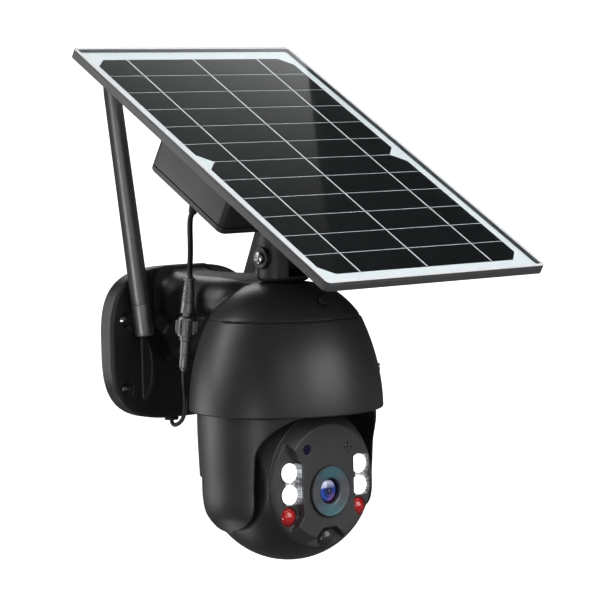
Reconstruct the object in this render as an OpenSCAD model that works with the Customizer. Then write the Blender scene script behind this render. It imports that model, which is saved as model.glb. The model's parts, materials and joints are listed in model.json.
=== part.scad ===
// Solar-powered pan and tilt security camera with a wall arm.
// Millimetres, +Z up. The camera faces -Y and the wall is the plane Y = 0.
// Origin: centre of the four wall-screw holes on the back face of the wall plate.

/* [Wall plate] */
// Width of the wall plate
plate_w = 132; // [124:1:140]
// Height of the wall plate
plate_h = 108; // [104:1:114]
// Thickness of the wall plate at its rim
plate_t = 13; // [12:0.5:15]
// Spacing of the wall screw holes across
screw_dx = 106; // [100:1:108]
// Spacing of the wall screw holes up and down
screw_dz = 49; // [44:1:52]
// Diameter of the wall screw holes
screw_hole_d = 5.5; // [4.5:0.1:6]

/* [Dome and yoke] */
// Distance from the wall to the vertical pan axis
pan_y = 120; // [118:1:124]
// Radius of the dome skirt at its lower rim
rim_r = 66.3; // [65.6:0.1:67]
// Radius of the dome skirt at the upper seam
seam_r = 52.3; // [52:0.1:53]
// Radius of the yoke below the rim
yoke_r = 61.4; // [61:0.1:61.8]
// Wall thickness of the moulded shells
wall = 2.5; // [2:0.1:2.8]

/* [Camera head] */
// Radius of the ball-shaped head
head_r = 57; // [56.4:0.1:57.2]
// Height of the tilt axis
tilt_z = -81.5; // [-82:0.1:-81]
// Distance from the tilt axis to the front of the face slab
slab_d = 42; // [41.5:0.1:42.5]
// Distance from the tilt axis to the floor of the lamp pockets
pocket_d = 36; // [35.5:0.1:36.5]

/* [Solar panel] */
// Width of the solar panel
panel_w = 195; // [190:1:200]
// Length of the solar panel
panel_l = 295; // [288:1:300]
// Tilt of the panel, front edge down
panel_tilt = 31; // [30:0.5:33]

/* [Antennas] */
// Length of one antenna rod from its pivot
ant_l = 170; // [120:1:171]
// Outward lean of the left antenna
ant_left_lean = 7.65; // [2:0.05:20]
// Outward lean of the right antenna
ant_right_lean = 21.7; // [10:0.1:30]

/* [Hidden] */
$fn = 96;
e = 0.01;
plate_cz = 6;
rim_z = -34.5;
seam_z = 27.5;
top_z = 51.5;
bolt_z = 69;
piv_x = 45; piv_y = -22; piv_z = 22;
// panel centre in the world, found from the foot of the hinge on the box
pan_dn = 72.8;      // distance from the hinge bolt to the top face of the panel
pan_dv = 13.1;      // how far the bracket sits toward the front edge from the centre
gear_m = 1;

// superellipse outline of half sizes a, b and power p
function sup(a, b, p, n) = [for (i = [0:n - 1]) let (t = 360 * i / n, c = cos(t), s = sin(t))
  [a * sign(c) * pow(abs(c), 2 / p), b * sign(s) * pow(abs(s), 2 / p)]];
// rounded rectangle from (x0,y0) to (x1,y1), radii at the top and the bottom
function arcp(cx, cy, r, a0, a1, n) = [for (i = [0:n]) let (a = a0 + (a1 - a0) * i / n) [cx + r * cos(a), cy + r * sin(a)]];
function rr(x0, y0, x1, y1, rt, rb, n = 6) = concat(
  arcp(x1 - rb, y0 + rb, rb, -90, 0, n), arcp(x1 - rt, y1 - rt, rt, 0, 90, n),
  arcp(x0 + rt, y1 - rt, rt, 90, 180, n), arcp(x0 + rb, y0 + rb, rb, 180, 270, n));
// solid lofted through sections that have the same number of points
module loft(secs) {
  m = len(secs[0]); k = len(secs);
  pts = [for (s = secs) for (p = s) p];
  polyhedron(pts, concat(
    [[for (i = [0:m - 1]) i]],
    [for (j = [0:k - 2]) for (i = [0:m - 1]) [j * m + i, (j + 1) * m + i, (j + 1) * m + (i + 1) % m]],
    [for (j = [0:k - 2]) for (i = [0:m - 1]) [j * m + i, (j + 1) * m + (i + 1) % m, j * m + (i + 1) % m]],
    [[for (i = [m - 1:-1:0]) (k - 1) * m + i]]));
}
// extrude a 2-D shape drawn as (X, Z) along Y, from y0 toward -Y by t
module along_y(y0, t) { translate([0, y0, 0]) rotate([90, 0, 0]) linear_extrude(t) children(); }
// extrude a 2-D shape drawn as (Y, Z) along X, from x0 to x0 + t
module along_x(x0, t) { translate([x0, 0, 0]) rotate([90, 0, 90]) linear_extrude(t) children(); }
module at_pan() { translate([0, -pan_y, 0]) children(); }
module at_head() { translate([0, -pan_y, tilt_z]) children(); }
// panel frame of reference: X across, Y toward the rear edge, Z out of the glass, 0 at the centre of the top face
module at_panel() {
  translate([0, -pan_y, bolt_z]) rotate([panel_tilt, 0, 0]) translate([0, pan_dv, pan_dn]) children();
}
// spur gear with tapered teeth and generous backlash
module gear(n, t, bore, ph = 0) {
  rp = gear_m * n / 2;
  difference() {
    union() {
      cylinder(h = t, r = rp - 1.15);
      for (i = [0:n - 1]) rotate([0, 0, 360 * i / n + ph]) linear_extrude(t)
        polygon([[rp - 1.6, -1.0], [rp - 0.2, -0.62], [rp + 0.75, -0.3], [rp + 0.75, 0.3], [rp - 0.2, 0.62], [rp - 1.6, 1.0]]);
    }
    translate([0, 0, -1]) cylinder(h = t + 2, r = bore);
  }
}
// pan-head screw with a cross recess, head top at z = 0, shank toward -Z
module screw(rh, hh, rs, l, fn = 24) {
  difference() {
    union() { translate([0, 0, -hh]) cylinder(h = hh, r = rh, $fn = fn); translate([0, 0, -hh - l]) cylinder(h = l + e, r = rs, $fn = fn); }
    for (a = [0, 90]) rotate([0, 0, a]) translate([-rh * 0.6, -rh * 0.12, -hh * 0.5]) cube([rh * 1.2, rh * 0.24, hh]);
  }
}

// ---------------------------------------------------------------- wall side
module plate_2d(k) { translate([0, plate_cz]) polygon(sup(plate_w / 2 - k, plate_h / 2 - k, 3.2, 72)); }
module wall_plate() color([0.16, 0.16, 0.17]) difference() {
  union() {
    difference() {
      union() {
        along_y(0, plate_t - 2) plate_2d(0);
        along_y(-plate_t + 2 + e, 1) plate_2d(0.9);
        along_y(-plate_t + 1 + e, 1) plate_2d(2.4);
      }
      // hollow back behind the front skin
      along_y(1, plate_t - 2.4) plate_2d(4);
    }
    // wall screw pillars, antenna pivot pillars and arm screw pillars
    for (x = [-1, 1], z = [-1, 1]) translate([x * screw_dx / 2, 0, z * screw_dz / 2]) rotate([90, 0, 0]) cylinder(h = plate_t - 0.8, r = 6.5);
    for (x = [-1, 1]) translate([x * piv_x, -4, piv_z]) rotate([90, 0, 0]) cylinder(h = 11, r = 6.5);
    for (x = [-19, 19], z = [22, 46]) translate([x, -4, z]) rotate([90, 0, 0]) cylinder(h = plate_t - 5, r = 5);
    // drip fins under the antennas
    for (x = [-38, 38]) intersection() {
      translate([x - 2, -24, -40]) cube([4, 12.5, 52]);
      translate([x - 3, 6.5, -9]) rotate([0, 90, 0]) cylinder(h = 6, r = 31);
    }
  }
  for (x = [-1, 1], z = [-1, 1]) translate([x * screw_dx / 2, 1, z * screw_dz / 2]) rotate([90, 0, 0]) {
    cylinder(h = 20, d = screw_hole_d);
    translate([0, 0, plate_t - 3 + 1]) cylinder(h = 5, r = 5.2);
  }
  for (x = [-1, 1]) translate([x * piv_x, 1, piv_z]) rotate([90, 0, 0]) {
    cylinder(h = 20, r = 2.5);
    cylinder(h = 7.8, r = 5.3);
  }
  for (x = [-19, 19], z = [22, 46]) translate([x, 1, z]) rotate([90, 0, 0]) { cylinder(h = 20, r = 1.8); cylinder(h = 7, r = 3.6); }
  // cable entry in the underside and the passage into the arm
  translate([-10, -7, -60]) cylinder(h = 20, r = 3.5);
  translate([0, 1, 34]) rotate([90, 0, 0]) cylinder(h = 20, r = 8);
}
module wall_gasket() color([0.07, 0.07, 0.075]) difference() {
  along_y(-0.0, 1.2) difference() { plate_2d(4); plate_2d(8.5); }
  for (x = [-1, 1], z = [-1, 1]) translate([x * screw_dx / 2, 1, z * screw_dz / 2]) rotate([90, 0, 0]) cylinder(h = 20, r = 7.2);
}
module arm_screws() color([0.55, 0.55, 0.55])
  for (x = [-19, 19], z = [22, 46]) translate([x, -3.8, z]) rotate([-90, 0, 0]) screw(3.2, 2.2, 1.5, 14);

// arm outline at station y, half width w, from z0 to z1, shrunk by k
function arm_sec(y, w, z0, z1, k, rt = 15, rb = 8) = [for (p = rr(-w + k, z0 + k, w - k, z1 - k, rt - k, rb - k)) [p[0], y, p[1]]];
function web_sec(y, w, z0, z1, k) = [for (p = rr(-w + k, z0 + k, w - k, z1, 3, 6 - k)) [p[0], y, p[1]]];
module arm_outer() intersection() {
  union() {
    loft([arm_sec(-12, 30.4, 13, 61.3, 0), arm_sec(-16, 28.5, 18, 60, 0), arm_sec(-20, 27, 22, 57, 0), arm_sec(-28, 27.5, 24, 55.5, 0),
      arm_sec(-46, 30, 26, 55, 0), arm_sec(-66, 33.5, 28, 54.8, 0), arm_sec(-84, 35.5, 28, 54.4, 0), arm_sec(-96, 35, 28, 53.2, 0), arm_sec(-106, 31, 28, 51, 0)]);
    loft([web_sec(-11, 22.5, -9.5, 40, 0), web_sec(-17, 20, -6, 40, 0), web_sec(-24, 19, -3, 40, 0), web_sec(-36, 18, 5, 40, 0),
      web_sec(-50, 17, 17, 40, 0), web_sec(-62, 15, 27.9, 40, 0)]);
  }
  translate([-100, -200 - plate_t, -100]) cube([200, 200, 200]);
}
module arm_inner() loft([arm_sec(-17, 25, 22, 57, wall), arm_sec(-28, 27.5, 24, 55.5, wall), arm_sec(-46, 30, 26, 55, wall),
  arm_sec(-66, 33.5, 28, 54.8, wall), arm_sec(-84, 35.5, 28, 54.4, wall), arm_sec(-98, 35, 28, 54, wall)]);
cap_o = [[0, 24], [14, 23.9], [20, 23.2], [26, 21.8], [32, 19.2], [37, 16], [41.5, 12], [45.3, 8.2], [48.6, 4.4], [50.6, 1.8], [51.4, 0]];
cap_i = [[51.4 - 2.5, 0], [48.2, 1.6], [46.2, 4], [43, 7.4], [39, 11], [34.6, 14.6], [29.5, 17.6], [24, 19.8], [18.5, 20.8], [13, 21.4], [0, 21.4]];
module cap_solid() at_pan() translate([0, 0, seam_z + 0.3]) rotate_extrude($fn = 128) polygon(concat(cap_o, [[0, 0]]));
module cap_void() at_pan() translate([0, 0, seam_z + 0.3]) rotate_extrude($fn = 128) polygon(concat([[0, -e]], cap_i));
module arm_cap() color([0.17, 0.17, 0.18]) difference() {
  union() {
    difference() {
      union() { cap_solid(); arm_outer(); }
      cap_void();
      intersection() { arm_inner(); translate([-50, -86, 30.5]) cube([100, 70, 30]); }
      // opening between the arm and the dome
      translate([-22, -90, seam_z + 4]) cube([44, 24, 16]);
    }
    // lip that drops into the skirt, seat for the swivel and board posts
    at_pan() translate([0, 0, seam_z - 3]) difference() { cylinder(h = 4.5, r = 48.9); translate([0, 0, -1]) cylinder(h = 7, r = 46.9); }
    at_pan() translate([0, 0, 45.5]) difference() { cylinder(h = 5, r = 15); translate([0, 0, -1]) cylinder(h = 7, r = 10); }
    intersection() {
      union() for (x = [-1, 1], y = [-1, 1]) translate([x * 33, -pan_y + y * 16, 29.8]) cylinder(h = 20, r = 3.2, $fn = 32);
      cap_solid();
    }
  }
  // swivel bore, plug hole and screw pilot holes at the plate
  at_pan() translate([0, 0, 40]) cylinder(h = 20, r = 10);
  plug_at() translate([0, 0, -8]) cylinder(h = 20, r = 2.6);
  for (x = [-19, 19], z = [22, 46]) translate([x, -plate_t + 1, z]) rotate([90, 0, 0]) cylinder(h = 9, r = 1.5);
  translate([0, -plate_t + 1, 34]) rotate([90, 0, 0]) cylinder(h = 10, r = 8);
}
function skirt_r(z) = let (t = (seam_z - z) / (seam_z - rim_z)) seam_r + (rim_r - seam_r) * (1 - pow(1 - t, 2));
skirt_zs = [for (i = [0:12]) rim_z + 1 + (seam_z - rim_z - 1) * i / 12];
skirt_as = [-40, 35, 110];
module dome_skirt() color([0.15, 0.15, 0.16]) difference() {
  at_pan() difference() {
    rotate_extrude($fn = 128) polygon(concat([[rim_r - wall, rim_z], [rim_r - 0.8, rim_z]], [for (z = skirt_zs) [skirt_r(z), z]],
      [[49.1, seam_z], [49.1, seam_z - 4]], [for (i = [12:-1:0]) if (skirt_zs[i] < seam_z - 6) [skirt_r(skirt_zs[i]) - wall, skirt_zs[i]]]));
  }
  for (a = skirt_as) at_pan() rotate([0, 0, a]) {
    translate([50, 0, -8]) rotate([0, 90, 0]) cylinder(h = 30, r = 1.7);
    translate([skirt_r(-8) - 0.8, 0, -8]) rotate([0, 90, 0]) cylinder(h = 9, r = 2.75);
  }
}
module skirt_seal() color([0.06, 0.06, 0.065]) at_pan() translate([0, 0, seam_z]) difference() {
  cylinder(h = 0.3, r = 51.2); translate([0, 0, -1]) cylinder(h = 3, r = 49.0);
}
module chassis_plate() color([0.2, 0.2, 0.21]) difference() {
  union() {
    at_pan() translate([0, 0, -16.5]) cylinder(h = 3, r = 61.0);
    // rim of the plate that the side screws bite into
    at_pan() translate([0, 0, -13.6]) difference() { cylinder(h = 11.2, r = 58.8); translate([0, 0, -1]) cylinder(h = 14, r = 55.6); }
    at_pan() translate([0, 0, -16.5]) cylinder(h = 8, r = 21);
    for (x = [-1, 1]) translate([x * 17.5, -pan_y + 36, -14]) cylinder(h = 19, r = 3);
    for (x = [-30, 30], y = [-24, 24]) translate([x * 1.35, -pan_y + y, -14]) cylinder(h = 8, r = 3);
  }
  at_pan() translate([0, 0, -20]) cylinder(h = 20, r = 18);
  for (a = skirt_as) at_pan() rotate([0, 0, a]) translate([50, 0, -8]) rotate([0, 90, 0]) cylinder(h = 30, r = 1.2);
  // sound opening under the speaker
  for (i = [-2:2]) translate([i * 4, -pan_y - 46, -18]) cylinder(h = 6, r = 1.3);
  for (x = [-1, 1]) translate([x * 17.5, -pan_y + 36, -6]) cylinder(h = 12, r = 1.1);
}
module skirt_screws() color([0.35, 0.35, 0.36])
  for (a = skirt_as) at_pan() rotate([0, 0, a]) translate([skirt_r(-8) + 0.7, 0, -8]) rotate([0, 90, 0]) screw(2.6, 1.4, 1.2, 7);
module main_board() color([0.05, 0.32, 0.16]) difference() {
  at_pan() translate([0, 0, 28.2]) cylinder(h = 1.6, r = 44);
  for (x = [-1, 1], y = [-1, 1]) translate([x * 33, -pan_y + y * 16, 25]) cylinder(h = 8, r = 1.5);
}
module lte_module() color([0.7, 0.7, 0.68]) translate([-17, -pan_y - 16, 29.8]) cube([34, 30, 3]);
module speaker() color([0.12, 0.12, 0.12]) translate([0, -pan_y - 44, -13.5]) difference() {
  union() { cylinder(h = 4, r = 10.6); translate([0, 0, 4]) cylinder(h = 5, r = 6); }
  translate([0, 0, -1]) cylinder(h = 3, r = 9);
}
module pan_motor() color([0.66, 0.66, 0.64]) difference() {
  union() {
    translate([0, -pan_y + 36, 5]) cylinder(h = 18, r = 13);
    translate([0, -pan_y + 36, 5]) { difference() { translate([-21, -3.5, 0]) cube([42, 7, 1]); for (x = [-17.5, 17.5]) translate([x, 0, -1]) cylinder(h = 4, r = 1.5); } }
    translate([0, -pan_y + 36, 2]) cylinder(h = 3.5, r = 4.5);
    translate([0, -pan_y + 36, -8]) cylinder(h = 11, r = 1.5);
  }
}
module pan_pinion() color([0.9, 0.88, 0.8]) translate([0, -pan_y + 36, -5]) gear(12, 6, 1.51, 0);
module pan_bearing() color([0.72, 0.72, 0.72]) at_pan() translate([0, 0, -16]) difference() {
  cylinder(h = 7, r = 18); translate([0, 0, -1]) cylinder(h = 9, r = 14.05);
}
module plug_at() translate([-2, -pan_y - 42, 39.7]) rotate([47, 0, 0]) children();
module cap_plug() color([0.1, 0.1, 0.1]) plug_at() {
  translate([0, 0, -4]) cylinder(h = 5.5, r = 2.58, $fn = 32);
  translate([0, 0, 0.9]) cylinder(h = 1.5, r = 3.5, $fn = 32);
}
module antenna_pins() color([0.6, 0.6, 0.6])
  for (x = [-1, 1]) translate([x * piv_x, -4.2, piv_z]) rotate([-90, 0, 0]) screw(5, 2.4, 2.46, 19);

// ---------------------------------------------------------------- power lead and plug
conn_x = -41.9; conn_y = -64.2; conn_z = 7.6; conn_lean = 4.8;
conn_ax = [0.748 * sin(conn_lean), -0.664 * sin(conn_lean), cos(conn_lean)];
function conn_p(t) = [conn_x, conn_y, conn_z] + t * conn_ax;
module at_conn() translate([conn_x, conn_y, conn_z]) rotate(a = conn_lean, v = [0.664, 0.748, 0]) children();
lead_top = concat([[-66, -104.9, 101.3], [-65.9, -102.6, 97.5], [-62.6, -97.8, 90.5], [-56.4, -90.2, 82], [-50, -82.2, 74.5], [-44.6, -75.2, 68.5], [-40.9, -70, 63.3], [-39.1, -67.7, 60]],
  [conn_p(50.4), conn_p(49.15)]);
lead_low = concat([conn_p(-16.85), conn_p(-21.5)], [[-42.9, -62.8, -19.5], [-40.6, -60.6, -27], [-35, -53.5, -34.3], [-28, -44, -40.5], [-21, -33.5, -46], [-15.5, -23, -50.5], [-12, -14.5, -53],
  [-10.4, -9.4, -53.4], [-10, -7.2, -52], [-10, -7, -50]]);
function cross3(a, b) = [a[1] * b[2] - a[2] * b[1], a[2] * b[0] - a[0] * b[2], a[0] * b[1] - a[1] * b[0]];
function unit(v) = v / norm(v);
function tang(p, i) = unit(p[min(i + 1, len(p) - 1)] - p[max(i - 1, 0)]);
module tube(p, r, n = 8) {
  loft([for (i = [0:len(p) - 1]) let (t = tang(p, i), u = unit(cross3(t, [0.3, -0.9, 0.1])), v = cross3(t, u))
    [for (k = [0:n - 1]) let (a = -360 * k / n) p[i] + r * (u * cos(a) + v * sin(a))]]);
}
module pigtail_gland() color([0.08, 0.08, 0.085]) translate([-10, -7, -50]) { cylinder(h = 1.95, r = 5, $fn = 48); translate([0, 0, 1.9]) cylinder(h = 5, r = 3.48, $fn = 48); }
module pigtail() color([0.06, 0.06, 0.06]) tube(lead_low, 1.5);
module connector_socket() color([0.09, 0.09, 0.095]) at_conn() difference() {
  union() {
    translate([0, 0, -14.3]) cylinder(h = 19.3, r = 3.7, $fn = 48);
    translate([0, 0, -16.8]) cylinder(h = 3, r1 = 2.4, r2 = 3.4, $fn = 48);
    translate([0, 0, 4]) cylinder(h = 12, r = 4.4, $fn = 48);
  }
  translate([0, 0, 8]) cylinder(h = 10, r = 2.9, $fn = 48);
}
module connector_nut() color([0.09, 0.09, 0.095]) at_conn() translate([0, 0, 7]) difference() {
  union() {
    cylinder(h = 13, r = 6, $fn = 48);
    translate([0, 0, 12.9]) cylinder(h = 1.3, r1 = 5.4, r2 = 4.6, $fn = 48);
    // grip fins
    for (i = [0:7]) rotate([0, 0, i * 45 + 12]) translate([5, -0.65, 1.6]) cube([2.8, 1.3, 9.6]);
  }
  translate([0, 0, -1]) cylinder(h = 11.4, r = 4.5, $fn = 48);
  translate([0, 0, 8]) cylinder(h = 9, r = 3.2, $fn = 48);
}
module connector_plug() color([0.09, 0.09, 0.095]) at_conn() {
  translate([0, 0, 9]) cylinder(h = 8, r = 2.8, $fn = 48);
  translate([0, 0, 16.2]) cylinder(h = 1.1, r = 4.3, $fn = 48);
  translate([0, 0, 17]) cylinder(h = 7, r = 3.05, $fn = 48);
  translate([0, 0, 23]) cylinder(h = 7, r1 = 4.9, r2 = 4.6, $fn = 48);
  translate([0, 0, 29.9]) cylinder(h = 15.8, r1 = 4.6, r2 = 3.1, $fn = 48);
  for (i = [0:5]) translate([0, 0, 31 + i * 2.2]) cylinder(h = 1, r = 4.75 - i * 0.2, $fn = 48);
  translate([0, 0, 45.6]) cylinder(h = 1.8, r = 4.1, $fn = 48);
  translate([0, 0, 47.3]) cylinder(h = 1.8, r1 = 2.9, r2 = 2.3, $fn = 48);
}

// ---------------------------------------------------------------- yoke (pan body)
module ear_2d(k = 0) { // side outline (Y, Z) about the tilt axis
  difference() {
    union() {
      translate([-70, 0]) square([140, 80]);
      circle(r = 41 - k, $fn = 96);
    }
  }
}
yoke_top = 50;  // height of the shoulder above the tilt axis
module yoke_body(r, rs, k) intersection() {
  rotate_extrude($fn = 128) polygon([[0, -48], [r - 1.3, -48], [r - 1.2, 0], [r, 30], [r, yoke_top - 3 - k], [r - 3, yoke_top - k], [40, 57 - k], [20, 63.2 - k], [0, 64.5 - k]]);
  union() { sphere(r = rs, $fn = 128); translate([0, 0, 4]) cylinder(h = 80, r = 80); }
}
module yoke() color([0.16, 0.16, 0.17]) at_head() difference() {
  union() {
    difference() {
      intersection() { yoke_body(yoke_r, 62.6, 0); along_x(-70, 140) ear_2d(); }
      // round cavity for the ball
      sphere(r = 58.4, $fn = 128);
      // front opening with a round-cornered arch
      along_y(-4, 80) polygon(rr(-53, -60, 53, 46.6, 28, 2, 10));
      // flat inner faces of the ears
      translate([-52.6, -70, -60]) cube([105.2, 140, 62]);
      // hollow above the ball for the tilt drive
      translate([0, 0, 40]) cylinder(h = 16, r = 30);
    }
    // pan hub and stops
    translate([0, 0, 60]) cylinder(h = 23, r = 14);
    translate([0, 0, 60]) cylinder(h = 4.2, r = 20);
    // pivot bosses in the ears
    for (s = [-1, 1]) rotate([0, s * 90, 0]) translate([0, 0, 48.4]) cylinder(h = 8.4, r = 13);
  }
  for (s = [-1, 1]) rotate([0, s * 90, 0]) translate([0, 0, 42]) cylinder(h = 15.4, r = 8);
  translate([0, 0, 50]) cylinder(h = 50, r = 7);
  for (a = [0, 120, 240]) rotate([0, 0, a]) translate([10.6, 0, 72]) cylinder(h = 12, r = 1.2);
}

module pan_gear() color([0.9, 0.88, 0.8]) at_pan() translate([0, 0, -5]) difference() {
  union() { gear(60, 6, 14.0, 3); translate([0, 0, 5]) difference() { cylinder(h = 2.6, r = 19); translate([0, 0, -1]) cylinder(h = 2.5, r = 14); } }
  translate([0, 0, -1]) cylinder(h = 12, r = 7);
  for (a = [0, 120, 240]) rotate([0, 0, a]) translate([10.6, 0, 5]) cylinder(h = 6, r = 1.3);
}
module tilt_pivots() color([0.62, 0.62, 0.6]) at_head() for (s = [-1, 1]) rotate([0, s * 90, 0]) difference() {
  union() { translate([0, 0, 48.4]) cylinder(h = 8.9, r = 8); translate([0, 0, 41]) cylinder(h = 8, r = 6); }
  translate([0, 0, 38]) cylinder(h = s < 0 ? 30 : 12, r = s < 0 ? 3.5 : 2.55);
}

// ---------------------------------------------------------------- head (tilt body)
lens_z = -6.3; led_x = 31.5; led_zs = [8.7, -6.1]; red_z = -21.2; pir_z = -38;
flat_x = 47.5;
module slab_2d(k = 0) offset(delta = -k) polygon([[-62, 66], [-31.5, 25.5], [-22.9, 15], [-22.9, -21], [-32, -33.5], [-62, -74],
  [62, -74], [32, -33.5], [22.9, -21], [22.9, 15], [31.5, 25.5], [62, 66]]);
module slab_poly(w) polygon([[-62, 66], [-31.5 + w, 25.5], [-22.9 + w, 15], [-22.9 + w, -21], [-32 + w, -33.5], [-62, -74],
  [62, -74], [32 - w, -33.5], [22.9 - w, -21], [22.9 - w, 15], [31.5 - w, 25.5], [62, 66]]);
module notch_2d(k) polygon([[-5.8 - k, -31 + k], [5.8 + k, -31 + k], [21 + k, -44], [40, -70], [-40, -70], [-21 - k, -44]]);
module ball(r, f) intersection() { sphere(r = r, $fn = 128); translate([-f, -80, -80]) cube([2 * f, 160, 160]); }
module face_pts() { for (x = [-1, 1]) { for (z = led_zs) translate([x * led_x, 0, z]) children(); translate([x * led_x, 0, red_z]) children(); } }
module head_shell() color([0.15, 0.15, 0.16]) at_head() difference() {
  union() {
    difference() {
      ball(head_r, flat_x);
      ball(head_r - wall, flat_x - wall);
    }
    for (s = [-1, 1]) rotate([0, s * 90, 0]) translate([0, 0, 41]) cylinder(h = 6.4, r = 12);
    intersection() {
      ball(head_r - 1, flat_x);
      union() {
        for (x = [-20, 20], z = [-30, 30]) translate([x, 60, z]) rotate([90, 0, 0]) cylinder(h = 93.4, r = 4);
        translate([-14, 8, -56]) cube([28, 20, 11]);
      }
    }
  }
  along_y(-33.5, 60) square([200, 200], center = true);
  for (s = [-1, 1]) rotate([0, s * 90, 0]) translate([0, 0, 38]) cylinder(h = 12, r = 6.06);
  for (x = [-20, 20], z = [-30, 30]) translate([x, 60, z]) rotate([90, 0, 0]) { cylinder(h = 100, r = 1.6); cylinder(h = 26, r = 3.1); }
  // room for the lamp and sensor domes
  for (x = [-1, 1]) translate([x * led_x, -28, red_z]) rotate([90, 0, 0]) cylinder(h = 10, r = 6.6);
  translate([0, -28, pir_z]) rotate([90, 0, 0]) cylinder(h = 10, r = 5.8);
  // recess for the card slot, its floor and the reset button bore
  difference() { translate([-12, 10, -60]) cube([24, 16, 20]); sphere(r = head_r - 2.1, $fn = 128); }
  translate([-8, 18, -54]) cylinder(h = 12, r = 2.1, $fn = 32);
  translate([-2, 14, -54]) cube([12, 2.2, 12]);
}
module card_cover() color([0.08, 0.08, 0.085]) at_head() intersection() {
  difference() { sphere(r = head_r, $fn = 128); sphere(r = head_r - 1.8, $fn = 128); }
  translate([-11.8, 10.2, -60]) cube([23.6, 15.6, 20]);
}
module reset_button() color([0.7, 0.1, 0.08]) at_head() translate([-8, 18, -50]) { cylinder(h = 5.2, r = 2, $fn = 32); translate([0, 0, 5.1]) cylinder(h = 1, r = 3, $fn = 32); }
module face_plate() color([0.18, 0.18, 0.19]) at_head() difference() {
  union() {
    difference() {
      intersection() { ball(head_r, flat_x); along_y(-33.5, slab_d - 33.5) square([200, 200], center = true); }
      // lamp pockets either side of the slab
      difference() { along_y(-pocket_d, 40) square([200, 200], center = true); along_y(-pocket_d + 1, 50) slab_poly(0); }
      // notch for the motion sensor
      along_y(-pocket_d, 40) notch_2d(0);
      // hollow behind the slab
      intersection() {
        along_y(-30, slab_d - 30 - 2) intersection() { slab_poly(2.5); translate([-60, -26]) square([120, 62]); }
        sphere(r = head_r - wall, $fn = 96);
      }
    }
    translate([0, -slab_d + 4.5, lens_z]) rotate([90, 0, 0]) cylinder(h = 4.4, r = 18);
    for (x = [-20, 20], z = [-30, 30]) translate([x, -33.5, z]) rotate([90, 0, 0]) cylinder(h = z > 0 ? 5 : 2.4, r = 3.5);
  }
  translate([0, -20, lens_z]) rotate([90, 0, 0]) cylinder(h = 40, r = 16);
  face_pts() translate([0, -20, 0]) rotate([90, 0, 0]) cylinder(h = 30, r = 6.6);
  translate([-19.2, -20, 23.4]) rotate([90, 0, 0]) cylinder(h = 40, r = 3.5);
  for (p = [[0, 0], [3, 0], [-3, 0], [0, 3], [0, -3]]) translate([17.5 + p[0], -20, 21.6 + p[1]]) rotate([90, 0, 0]) cylinder(h = 40, r = 0.6, $fn = 16);
  translate([0, -20, pir_z]) rotate([90, 0, 0]) cylinder(h = 30, r = 5.7);
  for (x = [-20, 20], z = [-30, 30]) translate([x, -30, z]) rotate([90, 0, 0]) cylinder(h = z > 0 ? 7.5 : 5, r = 1.2);
}
module lens_cover() color([0.3, 0.42, 0.46]) at_head() translate([0, -slab_d, lens_z]) rotate([90, 0, 0]) difference() {
  union() { cylinder(h = 1.3, r = 17.5); translate([0, 0, 1.3 - e]) cylinder(h = 0.7, r1 = 17.5, r2 = 16.9); translate([0, 0, -2.6]) cylinder(h = 2.7, r = 15.95); }
  translate([0, 0, -4]) cylinder(h = 10, r = 8.4);
}
module lens_barrel() color([0.06, 0.06, 0.07]) at_head() translate([0, 0, lens_z]) rotate([90, 0, 0]) difference() {
  union() { translate([0, 0, 13.6]) cylinder(h = 18, r = 7.5); translate([0, 0, 22]) cylinder(h = 12, r = 10.5); translate([0, 0, 34 - e]) cylinder(h = 5.3, r = 12.5); }
  translate([0, 0, 34.2]) cylinder(h = 6, r = 8.6);
  translate([0, 0, 12]) cylinder(h = 18, r = 5);
}
module lens_glass() color([0.1, 0.15, 0.4]) at_head() translate([0, 0, lens_z]) rotate([90, 0, 0]) {
  translate([0, 0, 34.2]) cylinder(h = 4.2, r = 8.2);
  intersection() { translate([0, 0, 38.4 - e]) cylinder(h = 5, r = 8.2); translate([0, 0, 29.2]) sphere(r = 12.6, $fn = 64); }
}
module sensor_board() color([0.05, 0.32, 0.16]) at_head() translate([-19, -13.6, lens_z - 19]) cube([38, 1.6, 38]);
module led_boards() color([0.85, 0.85, 0.82]) at_head() for (x = [-1, 1]) translate([x * led_x - 6.3, -29.5, -27]) cube([12.6, 1.6, 43]);
module led_reflectors() color([0.85, 0.86, 0.88]) at_head() for (x = [-1, 1], z = led_zs) translate([x * led_x, -29.5, z]) rotate([90, 0, 0]) difference() {
  cylinder(h = 7.3, r = 6.5);
  translate([0, 0, 1.2]) cylinder(h = 6.2, r1 = 2.9, r2 = 6.1);
}
module white_leds() color([1, 1, 0.96]) at_head() for (x = [-1, 1], z = led_zs) translate([x * led_x, -30.7, z]) rotate([90, 0, 0]) {
  cylinder(h = 1.2, r = 2.6, $fn = 32); translate([0, 0, 1.2]) intersection() { sphere(r = 2.6, $fn = 32); cylinder(h = 5, r = 4); }
}
module lamp_lenses() color([0.95, 0.96, 0.98]) at_head() for (x = [-1, 1], z = led_zs) translate([x * led_x, -36.8, z]) rotate([90, 0, 0]) {
  cylinder(h = 0.9, r = 6.45, $fn = 64);
  translate([0, 0, 0.9 - e]) intersection() { cylinder(h = 3, r = 6.2, $fn = 64); translate([0, 0, -17.82]) sphere(r = 19.72, $fn = 64); }
}
module red_leds() color([0.8, 0.05, 0.05]) at_head() for (x = [-1, 1]) translate([x * led_x, -29.5, red_z]) rotate([90, 0, 0]) {
  cylinder(h = 5.8, r = 6.3, $fn = 48); translate([0, 0, 5.8 - e]) intersection() { translate([0, 0, -2.4]) sphere(r = 6.4, $fn = 48); cylinder(h = 8, r = 6.0); }
}
module light_sensor() color([0.05, 0.04, 0.12]) at_head() translate([-19.2, -34, 23.4]) rotate([90, 0, 0]) cylinder(h = 7.6, r = 3.4, $fn = 48);
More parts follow.
